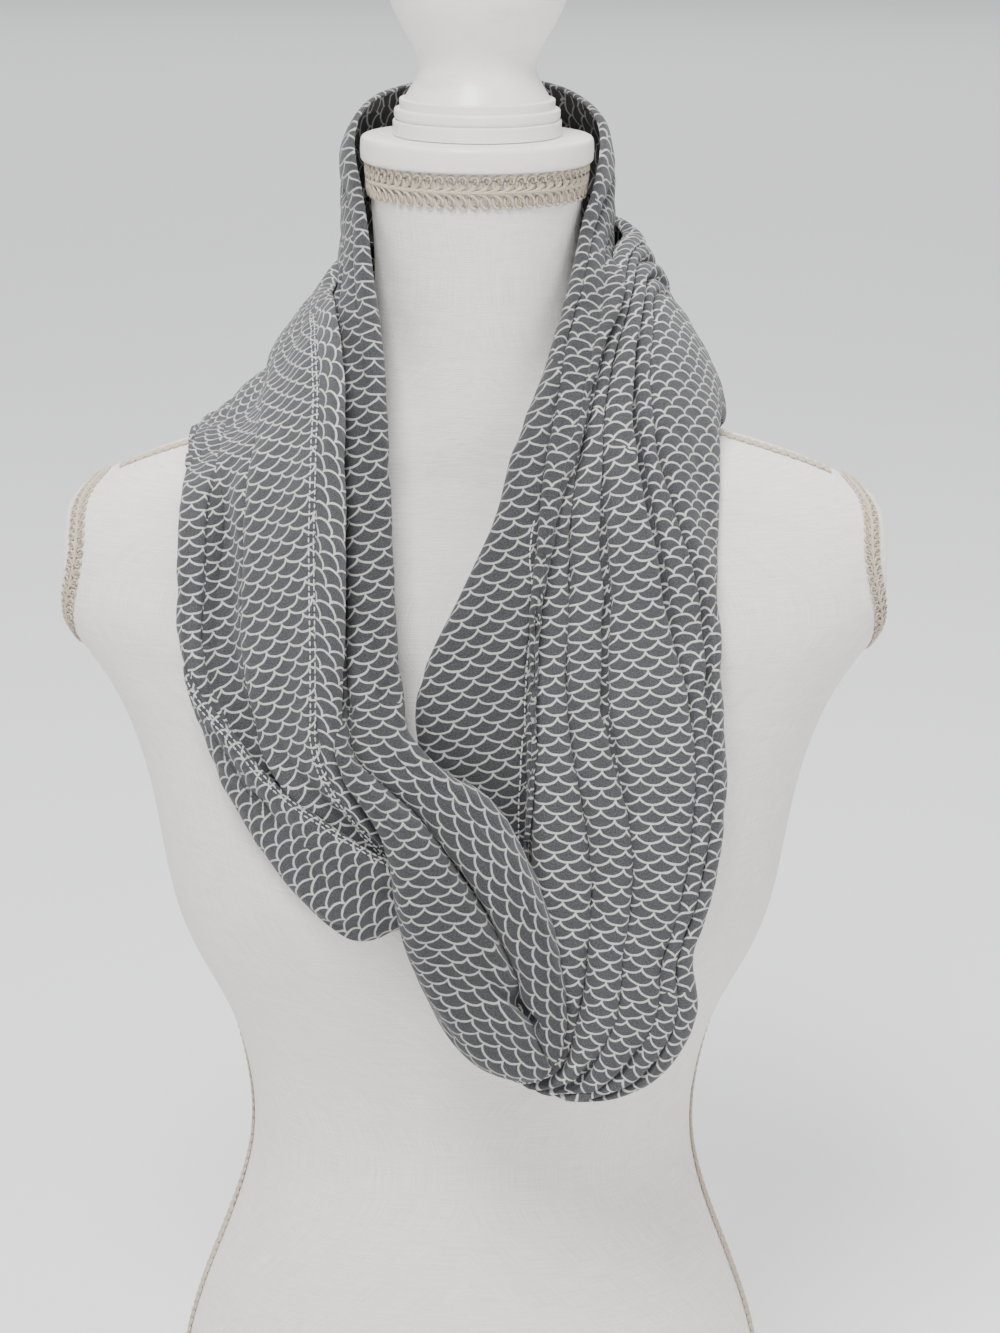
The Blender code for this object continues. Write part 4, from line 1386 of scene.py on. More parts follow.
@dataclass
class ClothSheet:
    """A finished sheet of the scarf: creased, folded under at its edges and given its print's flat map.

    Attributes:
        seed: picks the cloth's small unevenness.
        body: search tree of the form under the cloth.
        radius: radius of the folded edges.
        tuck: how far the cloth goes back under at its edges.
        seam_depth: depth of the trough that a stitch row pulls, seam_width to both sides.
        wrinkles: small wrinkles for each stretch, with a least and a greatest depth, half width and half
            length. Where the depth is below zero, they stand up.
        wrinkle_turn: spread of their direction round the way along the cloth.
        waves: slow waves over the whole sheet, with a height and a least and greatest length.
        print_start: where each run of the print starts, times its first and last panel.
        flat: each section's two edge points rolled out flat.
        spread: where each point lies on the flat cloth, without the print's turns.
        arc: how far across its section each point lies.
    """

    name: str
    turn: Turn
    seed: int
    body: BVHTree
    radius: float = 0.8
    tuck: float = 9.0
    seam_depth: float = 0.45
    seam_width: float = 0.9
    wrinkles: int = 60
    wrinkle_depth: Row = (-0.45, 0.95)
    wrinkle_width: Row = (1.8, 4.2)
    wrinkle_length: Row = (8.0, 26.0)
    wrinkle_turn: float = 0.45
    wrinkle_bend: float = 0.35
    waves: int = 14
    wave_height: float = 0.10
    wave_length: Row = (14.0, 34.0)
    print_start: tuple[float, float] = (37.0, 11.0)
    grid: SweptGrid = field(init=False)
    points: Array = field(init=False)
    flat: Array = field(init=False)
    spread: Array = field(init=False)
    normals: Array = field(init=False)
    arc: Array = field(init=False)

    def __post_init__(self) -> None:
        """Lets down and creases the laid turn."""
        self.grid, self.points = self.turn.fine()
        self._let_down(SHOULDER_SAG)
        self.flat = self._developed()
        arc = reach_across(self.points)
        arc -= arc[:, -1:] / 2
        way = unit(self.flat[:, 1] - self.flat[:, 0])
        self.spread = self.flat.mean(axis=1)[:, None] + way[:, None] * arc[:, :, None]
        self.normals = self._normals()
        self._crease()
        self.normals = self._normals()
        self.arc = reach_across(self.points)

    def _let_down(self, sag: Sag) -> None:
        """Lets the cloth down where it sags, as far as the form under it has room.

        Args:
            sag: the place.
        """
        far = (self.points - sag.centre) / sag.reach
        drop = sag.depth * np.exp(-(far**2).sum(axis=2))
        for i, j in np.argwhere(drop > sag.least):
            spot, _, _, gap = self.body.ray_cast(Vector(self.points[i, j]) * MM, Vector((0, 0, -1)))
            room = 0.0 if spot is None else max(gap / MM - sag.clear, 0.0)
            drop[i, j] = min(drop[i, j], room)
        self.points[:, :, 2] -= blurred(drop, sag.blur)

    def _normals(self) -> Array:
        """The outward direction at each point."""
        normal = unit(np.cross(np.gradient(self.points, axis=1), np.gradient(self.points, axis=0)))
        return normal * np.sign((normal * self.grid.normal[:, None]).sum())

    def _developed(self) -> Array:
        """Rolls the cloth out flat.

        Returns:
            Each section's two edge points, in millimetres.
        """
        inner, outer = self.grid.inner, self.grid.outer
        width = float(np.linalg.norm(outer[0] - inner[0]))
        rows = [np.array([(0.0, 0.0), (width, 0.0)])]
        for i in range(len(inner) - 1):
            low = rows[-1]
            sides = np.linalg.norm(inner[i + 1] - inner[i]), np.linalg.norm(inner[i + 1] - outer[i])
            left = third_corner(low[0], low[1], *sides)
            sides = np.linalg.norm(outer[i + 1] - inner[i + 1]), np.linalg.norm(outer[i + 1] - outer[i])
            rows.append(np.array([left, third_corner(left, low[1], *sides)]))
        return np.array(rows)

    def _crease(self) -> None:
        """Moves the points by the listed creases and the small unevenness of worn cloth."""
        flat = self.spread
        push = np.zeros(self.points.shape[:2])
        for crease in CREASES:
            if crease.path[0][0] in self.grid.names:
                line = np.array([self._flat_place(place) for place in crease.path])
                push -= crease.depth * self._trough(line, crease.width)
        for row in STITCH_ROWS:
            if row.path[0][0] in self.grid.names:
                push -= self.seam_depth * self._trough(self._beside(row), self.seam_width)
        chance = np.random.default_rng(self.seed)
        for _ in range(self.wrinkles * len(self.grid.names)):
            i, j = chance.integers(4, len(flat) - 4), chance.integers(2, flat.shape[1] - 2)
            way = turned(unit(flat[i + 3, j] - flat[i - 3, j]), chance.normal(0.0, self.wrinkle_turn))
            bend = turned(way, chance.normal(0.0, self.wrinkle_bend))
            length = chance.uniform(*self.wrinkle_length)
            line = np.array([flat[i, j] - way * length, flat[i, j], flat[i, j] + bend * length])
            depth = chance.uniform(*self.wrinkle_depth)
            push -= depth * self._trough(line, chance.uniform(*self.wrinkle_width))
        for _ in range(self.waves):
            angle = chance.uniform(-0.5, 0.5)
            wave = chance.uniform(*self.wave_length)
            way = np.array([math.cos(angle), math.sin(angle)]) * 2 * math.pi / wave
            slow = np.array([math.sin(angle), math.cos(angle)]) * 2 * math.pi / (wave * 4)
            phase = chance.uniform(0, 2 * math.pi, 2)
            push += self.wave_height * np.sin(flat @ way + phase[0]) * np.sin(flat @ slow + phase[1])
        self.points = self.points + self.normals * push[:, :, None]

    def _flat_place(self, place: Place) -> Array:
        """Finds a place of the sheet on the flat cloth.

        Args:
            place: the place.

        Returns:
            Its flat position.
        """
        name, along, across = place
        first, last = self.grid.part_of(name)
        i = first + along * (last - 1 - first)
        low = min(int(i), len(self.spread) - 2)
        return self._at(low, across) * (1 - i + low) + self._at(low + 1, across) * (i - low)

    def _beside(self, row: StitchRow) -> Array:
        """Finds a stitch row on the flat cloth.

        Args:
            row: the row.

        Returns:
            The points of its line.
        """
        line = np.array([self._flat_place(place) for place in row.path])
        across = np.array([self._flat_place((*place[:2], place[2] + 0.02)) for place in row.path])
        return line + unit(across - line) * row.beside

    def _trough(self, line: Array, width: float) -> Array:
        """A soft trough along a line, with a low shoulder on both sides, that fades out at both ends.

        Args:
            line: points of the line on the flat cloth.
            width: half the trough's width.

        Returns:
            How much of the depth each point takes.
        """
        flat, steps = self.spread, np.linalg.norm(np.diff(line, axis=0), axis=1)
        total, reached = steps.sum(), 0.0
        low, high = line.min(axis=0) - 4 * width, line.max(axis=0) + 4 * width
        close = np.all((flat > low) & (flat < high), axis=2)
        near_by = flat[close]
        best, share = np.full(len(near_by), 1e9), np.zeros(len(near_by))
        for start, end, length in zip(line, line[1:], steps):
            way = (end - start) / length
            along = np.clip((near_by - start) @ way, 0, length)
            far = np.linalg.norm(near_by - start - along[:, None] * way, axis=1)
            share = np.where(far < best, (reached + along) / total, share)
            best = np.minimum(best, far)
            reached += length
        near = best / width
        ends, shoulder, shoulder_place = 0.6, 0.3, 2.1
        depth = np.zeros(flat.shape[:2])
        depth[close] = np.sin(math.pi * np.clip(share, 0, 1)) ** ends * (
            np.exp(-(near**2)) - shoulder * np.exp(-((near - shoulder_place) ** 2))
        )
        return depth

    def _at(self, section: int, across: float) -> Array:
        """Finds a share of the way across a section.

        Args:
            section: the section.
            across: the share.

        Returns:
            The flat position.
        """
        row = self.spread[section]
        columns = np.interp(across, self._shares(section), np.arange(len(row)))
        low = min(int(columns), len(row) - 2)
        return row[low] + (row[low + 1] - row[low]) * (columns - low)

    def _shares(self, section: int) -> Array:
        """Finds how far across a section its columns lie.

        Args:
            section: the section.

        Returns:
            A share from 0 to 1 for each column.
        """
        lines, count = self.grid.lines[section], self.grid.columns
        shares = [0.0]
        for start, end in zip(lines, lines[1:]):
            for step in range(1, count + 1):
                shares.append(start + (end - start) * (1 - math.cos(math.pi * step / count)) / 2)
        return np.array(shares)

    def print_map(self) -> Array:
        """Lays the print on the sheet.

        Returns:
            Where each face corner lies on the print, in millimetres: sections, columns, corners, two.
        """
        rows, size = self.points.shape[:2]
        corners = np.zeros((rows - 1, size - 1, 4, 2))
        ends: dict[tuple[int, int], Array] = {}
        for name in self.grid.names:
            first, last = self.grid.part_of(name)
            for run in STRETCHES[name].prints:
                panels = (run.first, run.last)
                start = ends.get(panels, np.multiply(self.print_start, panels))
                shares = [share for share, _ in run.leans]
                breaks = [k for k in range(1, len(shares)) if shares[k] == shares[k - 1]]
                left, right = self._columns(run)
                for low, high in zip([0, *breaks], [*breaks, len(shares)]):
                    leans = np.array(run.leans[low:high])
                    a, b = (first + round(leans[k, 0] * (last - 1 - first)) for k in (0, -1))
                    spots = self._print_run(run, a, b, leans, start)
                    start = spots[-1, 0]
                    around = spots[:-1, 1:-1], spots[:-1, 2:], spots[1:, 2:], spots[1:, 1:-1]
                    corners[a:b, left:right] = np.stack(around, axis=2)
                ends[panels] = start
        return corners

    def _columns(self, run: PrintRun) -> tuple[int, int]:
        """The first and last column of a print run."""
        return run.first * self.grid.columns, (run.last + 1) * self.grid.columns

    def _print_run(self, run: PrintRun, a: int, b: int, leans: Array, start: Array) -> Array:
        """Lays the print on a run between two sections.

        Args:
            run: the run.
            a: the first section.
            b: the last section.
            leans: shares of the way along and the print's lean there.
            start: place on the print that the run's middle line starts from.

        Returns:
            For each section the place on the print of the middle line, and of each column.
        """
        left, right = self._columns(run)
        middle = (left + right) // 2
        share = (self.grid.lines[:, run.first] + self.grid.lines[:, run.last + 1]) / 2
        spine = self.flat[:, 0] + (self.flat[:, 1] - self.flat[:, 0]) * share[:, None]
        way = unit(self.flat[:, 1] - self.flat[:, 0])
        along = np.linspace(leans[0, 0], leans[-1, 0], b + 1 - a)
        lean = np.radians(np.interp(along, leans[:, 0], leans[:, 1]))
        turn = np.unwrap([self._turn(i, lean[i - a]) for i in range(a, b + 1)])
        turn = np.convolve(np.pad(turn, 3, mode="edge"), np.full(7, 1 / 7), mode="valid")
        places = [start]
        for i in range(a, b):
            move = spine[i + 1] - spine[i]
            length = np.linalg.norm(self.points[i + 1, middle] - self.points[i, middle])
            move = move * length / max(np.linalg.norm(move), 1e-6)
            places.append(places[-1] + turned(move, (turn[i - a] + turn[i - a + 1]) / 2))
        found = []
        for i, place in zip(range(a, b + 1), places):
            reach = self.arc[i, left : right + 1] - self.arc[i, middle]
            across = place + turned(way[i], turn[i - a]) * reach[:, None]
            found.append(np.concatenate([place[None], across]))
        return np.array(found)

    def _turn(self, i: int, lean: float) -> float:
        """Finds how far the flat cloth is turned on to the print.

        Args:
            i: the section.
            lean: the print's lean there, as an angle.

        Returns:
            The angle.
        """
        hand, normal = self.grid.hand, self.grid.normal[i]
        chord = unit(self.grid.outer[i] - self.grid.inner[i])
        down = np.array([0.0, 0.0, -1.0])
        down = unit(down - normal * down.dot(normal))
        closed = down * math.cos(lean) + np.cross(normal, down) * math.sin(lean)
        way = unit(self.flat[i, 1] - self.flat[i, 0])
        side = np.array([-way[1], way[0]]) * hand
        flat = way * closed.dot(chord) + side * closed.dot(np.cross(normal, chord))
        return -math.pi / 2 - math.atan2(flat[1], flat[0])

    def stitch_line(self, row: StitchRow) -> tuple[Array, Array]:
        """Follows a stitch row on the cloth.

        Args:
            row: the row.

        Returns:
            Its points, about a millimetre apart, and the outward direction at each.
        """
        columns = np.arange(self.points.shape[1])
        spots, ways = [], []
        for (name, along, across), (_, on, over) in zip(row.path, row.path[1:]):
            first, last = self.grid.part_of(name)
            count = max(2, int(abs(on - along) * (last - first) * 2.6))
            for share in np.linspace(0, 1, count, endpoint=False):
                i = first + (along + (on - along) * share) * (last - 1 - first)
                low = min(int(i), len(self.points) - 2)
                found = []
                for section in (low, low + 1):
                    column = np.interp(across + (over - across) * share, self._shares(section), columns)
                    reach = np.interp(column, columns, self.arc[section]) + row.beside
                    column = np.interp(reach, self.arc[section], columns)
                    both = self.points[section], self.normals[section]
                    found.append(np.array([read(rows, columns, column) for rows in both]))
                mixed = found[0] * (1 - i + low) + found[1] * (i - low)
                spots.append(mixed[0])
                ways.append(mixed[1])
        return np.array(spots), unit(np.array(ways))

    def rim(self, side: int) -> tuple[Array, Array]:
        """The folded edge: a half round and the cloth tucked back under it.

        Args:
            side: 0 for the inner edge and 1 for the outer edge.

        Returns:
            The added columns from the edge on, and each one's distance from the edge along the cloth.
        """
        way = -1 if side else 1
        points, normals = self.points[:, ::way], self.normals[:, ::way]
        base, normal = points[:, 0], normals[:, 0]
        out = unit(base - points[:, 1])
        columns, reach = [], []
        for angle in np.linspace(0, math.pi, 6)[1:]:
            bend = normal * math.cos(angle) + out * math.sin(angle)
            columns.append(base - normal * self.radius + bend * self.radius)
            reach.append(angle * self.radius)
        gone = np.zeros(len(base))
        for place in range(1, self.grid.columns + 1):
            gone = gone + np.linalg.norm(points[:, place] - points[:, place - 1], axis=1)
            columns.append(points[:, place] - normals[:, place] * 2 * self.radius)
            reach.append(math.pi * self.radius + float(gone.mean()))
            if gone.mean() > self.tuck:
                break
        return np.array(columns).transpose(1, 0, 2), np.array(reach)

    def build(self, material: Material) -> Object:
        """Makes the piece.

        Args:
            material: the printed cloth.

        Returns:
            The piece, with its print's flat map.
        """
        corners = self.print_map()
        (before, reach_in), (after, reach_out) = self.rim(0), self.rim(1)
        points = np.concatenate([before[:, ::-1], self.points, after], axis=1)
        rows, size = points.shape[:2]
        faces = np.array(grid_faces(rows, size))
        flat = np.zeros((rows - 1, size - 1, 4, 2))
        inner, outer = len(reach_in), len(reach_out)
        flat[:, inner : size - 1 - outer] = corners
        # At each edge: its faces, and their corners towards it and away from it, in both sections
        edges = (
            (reach_in, corners[:, 0], range(inner - 1, -1, -1), ((0, 1), (3, 2))),
            (reach_out, corners[:, -1], range(size - 1 - outer, size - 1), ((1, 0), (2, 3))),
        )
        for reach, beside, places, pairs in edges:
            for place, near, far in zip(places, [0.0, *reach], reach):
                for edge, away in pairs:
                    way = unit(beside[:, edge] - beside[:, away])
                    flat[:, place, edge] = beside[:, edge] + way * far
                    flat[:, place, away] = beside[:, edge] + way * near
        if self.grid.hand > 0:
            faces, flat = faces[:, ::-1], flat[:, :, ::-1]
        made = new_piece(self.name, points.reshape(-1, 3), faces.tolist(), material, 180.0)
        set_uv(made, "cloth", flat.reshape(-1, 2))
        return made


def third_corner(a: Array, b: Array, from_a: float, from_b: float) -> Array:
    """The third corner of a flat triangle.

    Args:
        a: its first corner.
        b: its second corner.
        from_a: how far the third corner is from the first one.
        from_b: how far it is from the second one.

    Returns:
        The corner that is on the left of the way from a to b.
    """
    base = np.linalg.norm(b - a)
    way = (b - a) / base
    along = (from_a**2 - from_b**2 + base**2) / (2 * base)
    off = math.sqrt(max(from_a**2 - along**2, 0.0))
    return a + way * along + np.array([-way[1], way[0]]) * off


def turned(vector: Array, angle: float) -> Array:
    """A flat vector turned anticlockwise by an angle."""
    cos, sin = math.cos(angle), math.sin(angle)
    return np.array([vector[0] * cos - vector[1] * sin, vector[1] * cos + vector[0] * sin])


@dataclass
class Threads:
    """A mesh of many separate threads or cords, with their flat map in millimetres."""

    points: list[Array] = field(default_factory=list)
    faces: list[tuple[int, ...]] = field(default_factory=list)
    flat: list[tuple[float, float]] = field(default_factory=list)

    def piece(self, name: str, material: Material, slot: Slot) -> Object:
        """Makes one piece of them.

        Args:
            name: the piece's name.
            material: its finish.
            slot: the record's slot that the finish belongs to. Not used.

        Returns:
            The piece.
        """
        made = new_piece(name, self.points, self.faces, material, 180.0)
        set_uv(made, "cord", np.array(self.flat))
        return made


@dataclass(frozen=True)
class Stitching:
    """Machine stitches: short threads, sunk at both ends. Sizes are in millimetres.

    Attributes:
        rise: how far the middle of a stitch rises over its ends.
        sink: how deep the ends are sunk.
    """

    pitch: float = 3.0
    length: float = 2.2
    radius: float = 0.34
    rise: float = 0.34
    sink: float = 0.16
    sides: int = 6
    rings: int = 5

    def build(self, name: str, sheet: ClothSheet, rows: Sequence[StitchRow], thread: Material) -> None:
        """Makes the stitches of a sheet.

        Args:
            name: the piece's name.
            sheet: the sheet that they go through.
            rows: its stitch rows.
            thread: the thread's finish.
        """
        made = Threads()
        for row in rows:
            line, ways = sheet.stitch_line(row)
            reach = reach_along(line)
            for start in np.arange(0.0, reach[-1] - self.length, self.pitch):
                way = unit(read(ways, reach, start + self.length / 2))
                self._stitch(made, read(line, reach, start), read(line, reach, start + self.length), way)
        made.piece(name, thread, Slot.CLOTH)

    def _stitch(self, made: Threads, start: Array, end: Array, way: Array) -> None:
        """Adds one stitch.

        Args:
            made: the mesh that it goes to.
            start: its first end.
            end: its last end.
            way: the outward direction there.
        """
        first, along = len(made.points), unit(end - start)
        side = unit(np.cross(along, way))
        for k in range(self.rings):
            share = k / (self.rings - 1)
            swell = math.sin(math.pi * (0.08 + 0.84 * share)) ** 0.5
            spot = start + (end - start) * share + way * (self.rise * swell - self.sink)
            for n in range(self.sides):
                turn = 2 * math.pi * n / self.sides
                out = side * math.cos(turn) + way * math.sin(turn)
                made.points.append(spot + out * self.radius * swell)
        for face in grid_faces(self.rings, self.sides, closed=True):
            made.faces.append(tuple(first + corner for corner in face))
            for corner in face:
                ring, place = divmod(corner, self.sides)
                made.flat.append((ring * self.length / (self.rings - 1), place * self.radius))


@dataclass
class Scarf:
    """The loop of cloth.

    Attributes:
        turns: the sheets that it is made of.
        tones: painted shade of each sheet: how much lighter or darker than the print's own tone its copy of
            the cloth is made, for the light that falls on it.
        held: how each sheet is held. Not used.
    """

    turns: dict[str, Turn] = field(
        default_factory=lambda: {
            "neck_turn": Turn((RNF, NAPE, LNF, FRONT), 4, finer=5),
            "outer_turn": Turn((LOF, BACK, ROF, BOTTOM), 3, finer=6),
            "swag": Turn((SWAG,), 5, finer=5),
        }
    )
    # Painted shade: each sheet's copy of the cloth is made darker by this share, for the light that falls on
    # it
    tones: Row = (-0.28, -0.07, -0.19)
    held: tuple[Held, ...] = (Held.GATHERED, Held.GATHERED, Held.DRAPED)

    def lay(self) -> None:
        """Lays every stretch, from the lowest up, on the solids of the form."""
        solids = [tree_of(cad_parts["torso"])]
        under = ("shoulder_braid_left", "shoulder_braid_right", "neck_braid", "neck_cap")
        trims = [tree_of(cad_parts[name]) for name in under]
        laid: dict[str, BVHTree] = {}
        for name, lies_on in LAYERS.items():
            turn = next(turn for turn in self.turns.values() if name in turn.names)
            laid[name] = turn.lay(name, solids, trims + [laid[other] for other in lies_on])

    def build(self, thread: Material) -> None:
        """Args:
            thread: the finish of the stitches.
        """
        self.lay()
        body = tree_of(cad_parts["torso"])
        for k, (name, turn) in enumerate(self.turns.items()):
            sheet = ClothSheet(name, turn, FIRST_SEED + k, body)
            # Each sheet gets its own copy of the cloth, darkened by its painted shade
            made = sheet.build(PrintedCloth(tone=self.tones[k]).build(f"printed_cloth_{name}"))
            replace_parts(made, *turn.names)
            rows = [row for row in STITCH_ROWS if row.path[0][0] in turn.names]
            Stitching().build(f"{name}_stitches", sheet, rows, thread)


@dataclass
class DressForm:
    """The padded body, and its turned neck cap and finial. Sizes are in millimetres.

    Attributes:
        gap: air between turned pieces.
        bust_out: how far the bust stands out, at bust_side from the middle and at bust_height.
        bust_spread: how far it spreads sideways and upwards.
        plate_side: how far from the middle the armhole's plate lies.
        plate_dome: how much of the rounding it keeps.
        hem: height of each ring of the hem under the base, and its share of the base's size.
        hem_flat: the rings' places on the flat map.
    """

    neck_top: float = 661.0
    cap_radius: float = 53.4
    cap_thickness: float = 11.5
    gap: float = 0.3
    bust_out: float = 24.0
    bust_side: float = 70.0
    bust_height: float = 348.0
    bust_spread: tuple[float, float] = (44.0, 50.0)
    plate_side: float = 190.5
    plate_dome: float = 0.15
    around: int = 176
    step: float = 4.0
    hem: tuple[Row, ...] = ((0.0, 0.982), (0.0, 0.994), (0.9, 0.9985))
    hem_flat: Row = (-5.0, -2.0, 0.0)
    body: Object = field(init=False)

    def _rings(self, heights: Array) -> Array:
        """Finds points of the body's surface.

        Args:
            heights: the heights to find them at.

        Returns:
            A ring of points for each height.
        """
        rows = np.array(TORSO)
        found = spline(rows[:, 0], rows[:, 1:], heights)
        angle = 2 * math.pi * np.arange(self.around) / self.around
        sine, cosine = np.sin(angle)[None], np.cos(angle)[None]
        width, front, behind, square = (found[:, c : c + 1] for c in range(4))
        x = width * np.sign(sine) * np.abs(sine) ** (2 / square)
        over = np.abs(x) - self.plate_side
        x = np.where(over > 0, np.sign(x) * (self.plate_side + over * self.plate_dome), x)
        depth = np.where(cosine > 0, front, behind)
        y = -depth * np.sign(cosine) * np.abs(cosine) ** (2 / square)
        side = np.exp(-(((np.abs(x) - self.bust_side) / self.bust_spread[0]) ** 2))
        high = np.exp(-(((heights[:, None] - self.bust_height) / self.bust_spread[1]) ** 2))
        y = np.where(y < 0, y - self.bust_out * side * high, y)
        return np.stack([x, y, np.broadcast_to(heights[:, None], x.shape)], axis=2)

    def build_body(self, linen: Material) -> None:
        """Makes the linen-covered body, with its hem turned under the flat base.

        Args:
            linen: the linen's material.
        """
        count = round(self.neck_top / self.step)
        heights = np.linspace(0.0, self.neck_top, count + 1)
        rings = self._rings(heights)
        foot = []
        for height, pull in self.hem:
            ring = rings[0] * (pull, pull, 1.0)
            ring[:, 2] = height
            foot.append(ring)
        rings = np.concatenate([foot, rings[1:]])
        heights = np.concatenate([self.hem_flat, heights[1:]])
        size = self.around
        faces = [tuple(face) for face in grid_faces(len(rings), size, closed=True)]
        faces.append(tuple(reversed(range(size))))
        faces.append(tuple(range((len(rings) - 1) * size, len(rings) * size)))
        self.body = new_piece("linen_body", rings.reshape(-1, 3), faces, linen)
        girth = np.linalg.norm(np.diff(rings, axis=1, append=rings[:, :1]), axis=2)
        round_it = np.concatenate([np.zeros((len(rings), 1)), np.cumsum(girth, axis=1)], axis=1)
        round_it -= round_it[:, size // 2 : size // 2 + 1]
        flat = []
        for face in faces[:-2]:
            i, j = divmod(face[0], size)
            flat += [(round_it[i, j], heights[i]), (round_it[i, j + 1], heights[i])]
            flat += [(round_it[i + 1, j + 1], heights[i + 1]), (round_it[i + 1, j], heights[i + 1])]
        points = rings.reshape(-1, 3)
        for face in faces[-2:]:
            flat += [tuple(points[p][:2]) for p in face]
        set_uv(self.body, "linen", np.array(flat))
        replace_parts(self.body, "torso")

    def build_wood(self, paint: Material) -> None:
        """Makes the turned neck cap and finial.

        Args:
            paint: the paint's material.
        """
        r, t = self.cap_radius, self.cap_thickness
        corners = [(0.2, 0.0, 0.0), (r - 0.4, 0.0, 1.8), (r, t / 2, 3.0), (r - 0.5, t, 2.4), (0.2, t, 0.0)]
        cap = rounded_profile(corners)
        made = lathe("painted_cap", cap, self.neck_top + self.gap, paint)
        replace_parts(made, "neck_cap")
        low = rounded_profile([(0.2, 0.3, 0.0), *FINIAL])
        table = np.array(FINIAL_FLARE)
        reach = reach_along(table)
        high = spline(reach, table, np.linspace(0, reach[-1], 72))
        high[:, 0] = np.maximum(high[:, 0], 0.05)
        profile = [*low, *map(tuple, high)]
        made = lathe("painted_finial", profile, self.neck_top + self.gap + t, paint)
        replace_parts(made, "finial")


def rounded_profile(corners: Sequence[Row], steps: int = 5) -> list[tuple[float, float]]:
    """A profile with each corner rounded.

    Args:
        corners: radius, height and how round the corner is, in millimetres.
        steps: points in each rounded corner.

    Returns:
        Radius and height of each point.
    """
    spots = np.array([corner[:2] for corner in corners], float)
    made = []
    for i, (spot, corner) in enumerate(zip(spots, corners)):
        size = corner[2]
        if size <= 0 or i in (0, len(spots) - 1):
            made.append(tuple(spot))
            continue
        back, on = spots[i - 1] - spot, spots[i + 1] - spot
        size = min(size, 0.48 * np.linalg.norm(back), 0.48 * np.linalg.norm(on))
        start, end = spot + unit(back) * size, spot + unit(on) * size
        for share in np.linspace(0, 1, steps):
            bend = start * (1 - share) ** 2 + spot * 2 * share * (1 - share) + end * share**2
            made.append(tuple(bend))
    return made


def lathe(
    name: str, profile: Sequence[tuple], base: float, material: Material, steps: int = 160
) -> Object:
    """A piece turned round the upright axis.

    Args:
        name: the piece's name.
        profile: radius and height of each point, from the bottom up.
        base: height that the profile starts from.
        material: its finish.
        steps: points round the piece.

    Returns:
        The piece.
    """
    turn = 2 * math.pi * np.arange(steps) / steps
    points = []
    for radius, height in profile:
        points += [(radius * math.sin(a), -radius * math.cos(a), base + height) for a in turn]
    faces = [tuple(face) for face in grid_faces(len(profile), steps, closed=True)]
    faces.append(tuple(reversed(range(steps))))
    faces.append(tuple(range((len(profile) - 1) * steps, len(profile) * steps)))
    return new_piece(name, points, faces, material, 50.0)


@dataclass
class Course:
    """The line that a braid follows on the body.

    Attributes:
        points: points near the body's surface, in millimetres.
        body: search tree of the body.
        closed: whether the line closes on itself.
    """

    points: Array
    body: BVHTree
    closed: bool
    reach: Array = field(init=False)

    def __post_init__(self) -> None:
        """Closes the line and measures it."""
        self.points = np.array(self.points)
        if self.closed:
            self.points = np.concatenate([self.points, self.points[:1]])
        self.reach = reach_along(self.points)

    def _at(self, place: float) -> Array:
        """The point at a place along the line, round a closed one and up to the ends of an open one."""
        place = place % self.reach[-1] if self.closed else min(max(place, 0), self.reach[-1])
        return read(self.points, self.reach, place)

    def cord(self, along: Array, out: Array, high: Array) -> Array:
        """Lays a cord on the body.

        Args:
            along: places along the line.
            out: how far to the side of it.
            high: how far over the body.

        Returns:
            The cord's points.
        """
        made = []
        along = along % self.reach[-1] if self.closed else np.clip(along, 0, self.reach[-1])
        for place, side, up in zip(along, out, high):
            near = self._at(place)
            step = self._at(place + 0.5) - self._at(place - 0.5)
            _, normal, _, _ = self.body.find_nearest(Vector(near) * MM)
            across = unit(np.cross(step, np.array(normal)))
            spot, normal, _, _ = self.body.find_nearest(Vector(near + across * side) * MM)
            made.append(np.array(spot) / MM + np.array(normal) * up)
        return np.array(made)


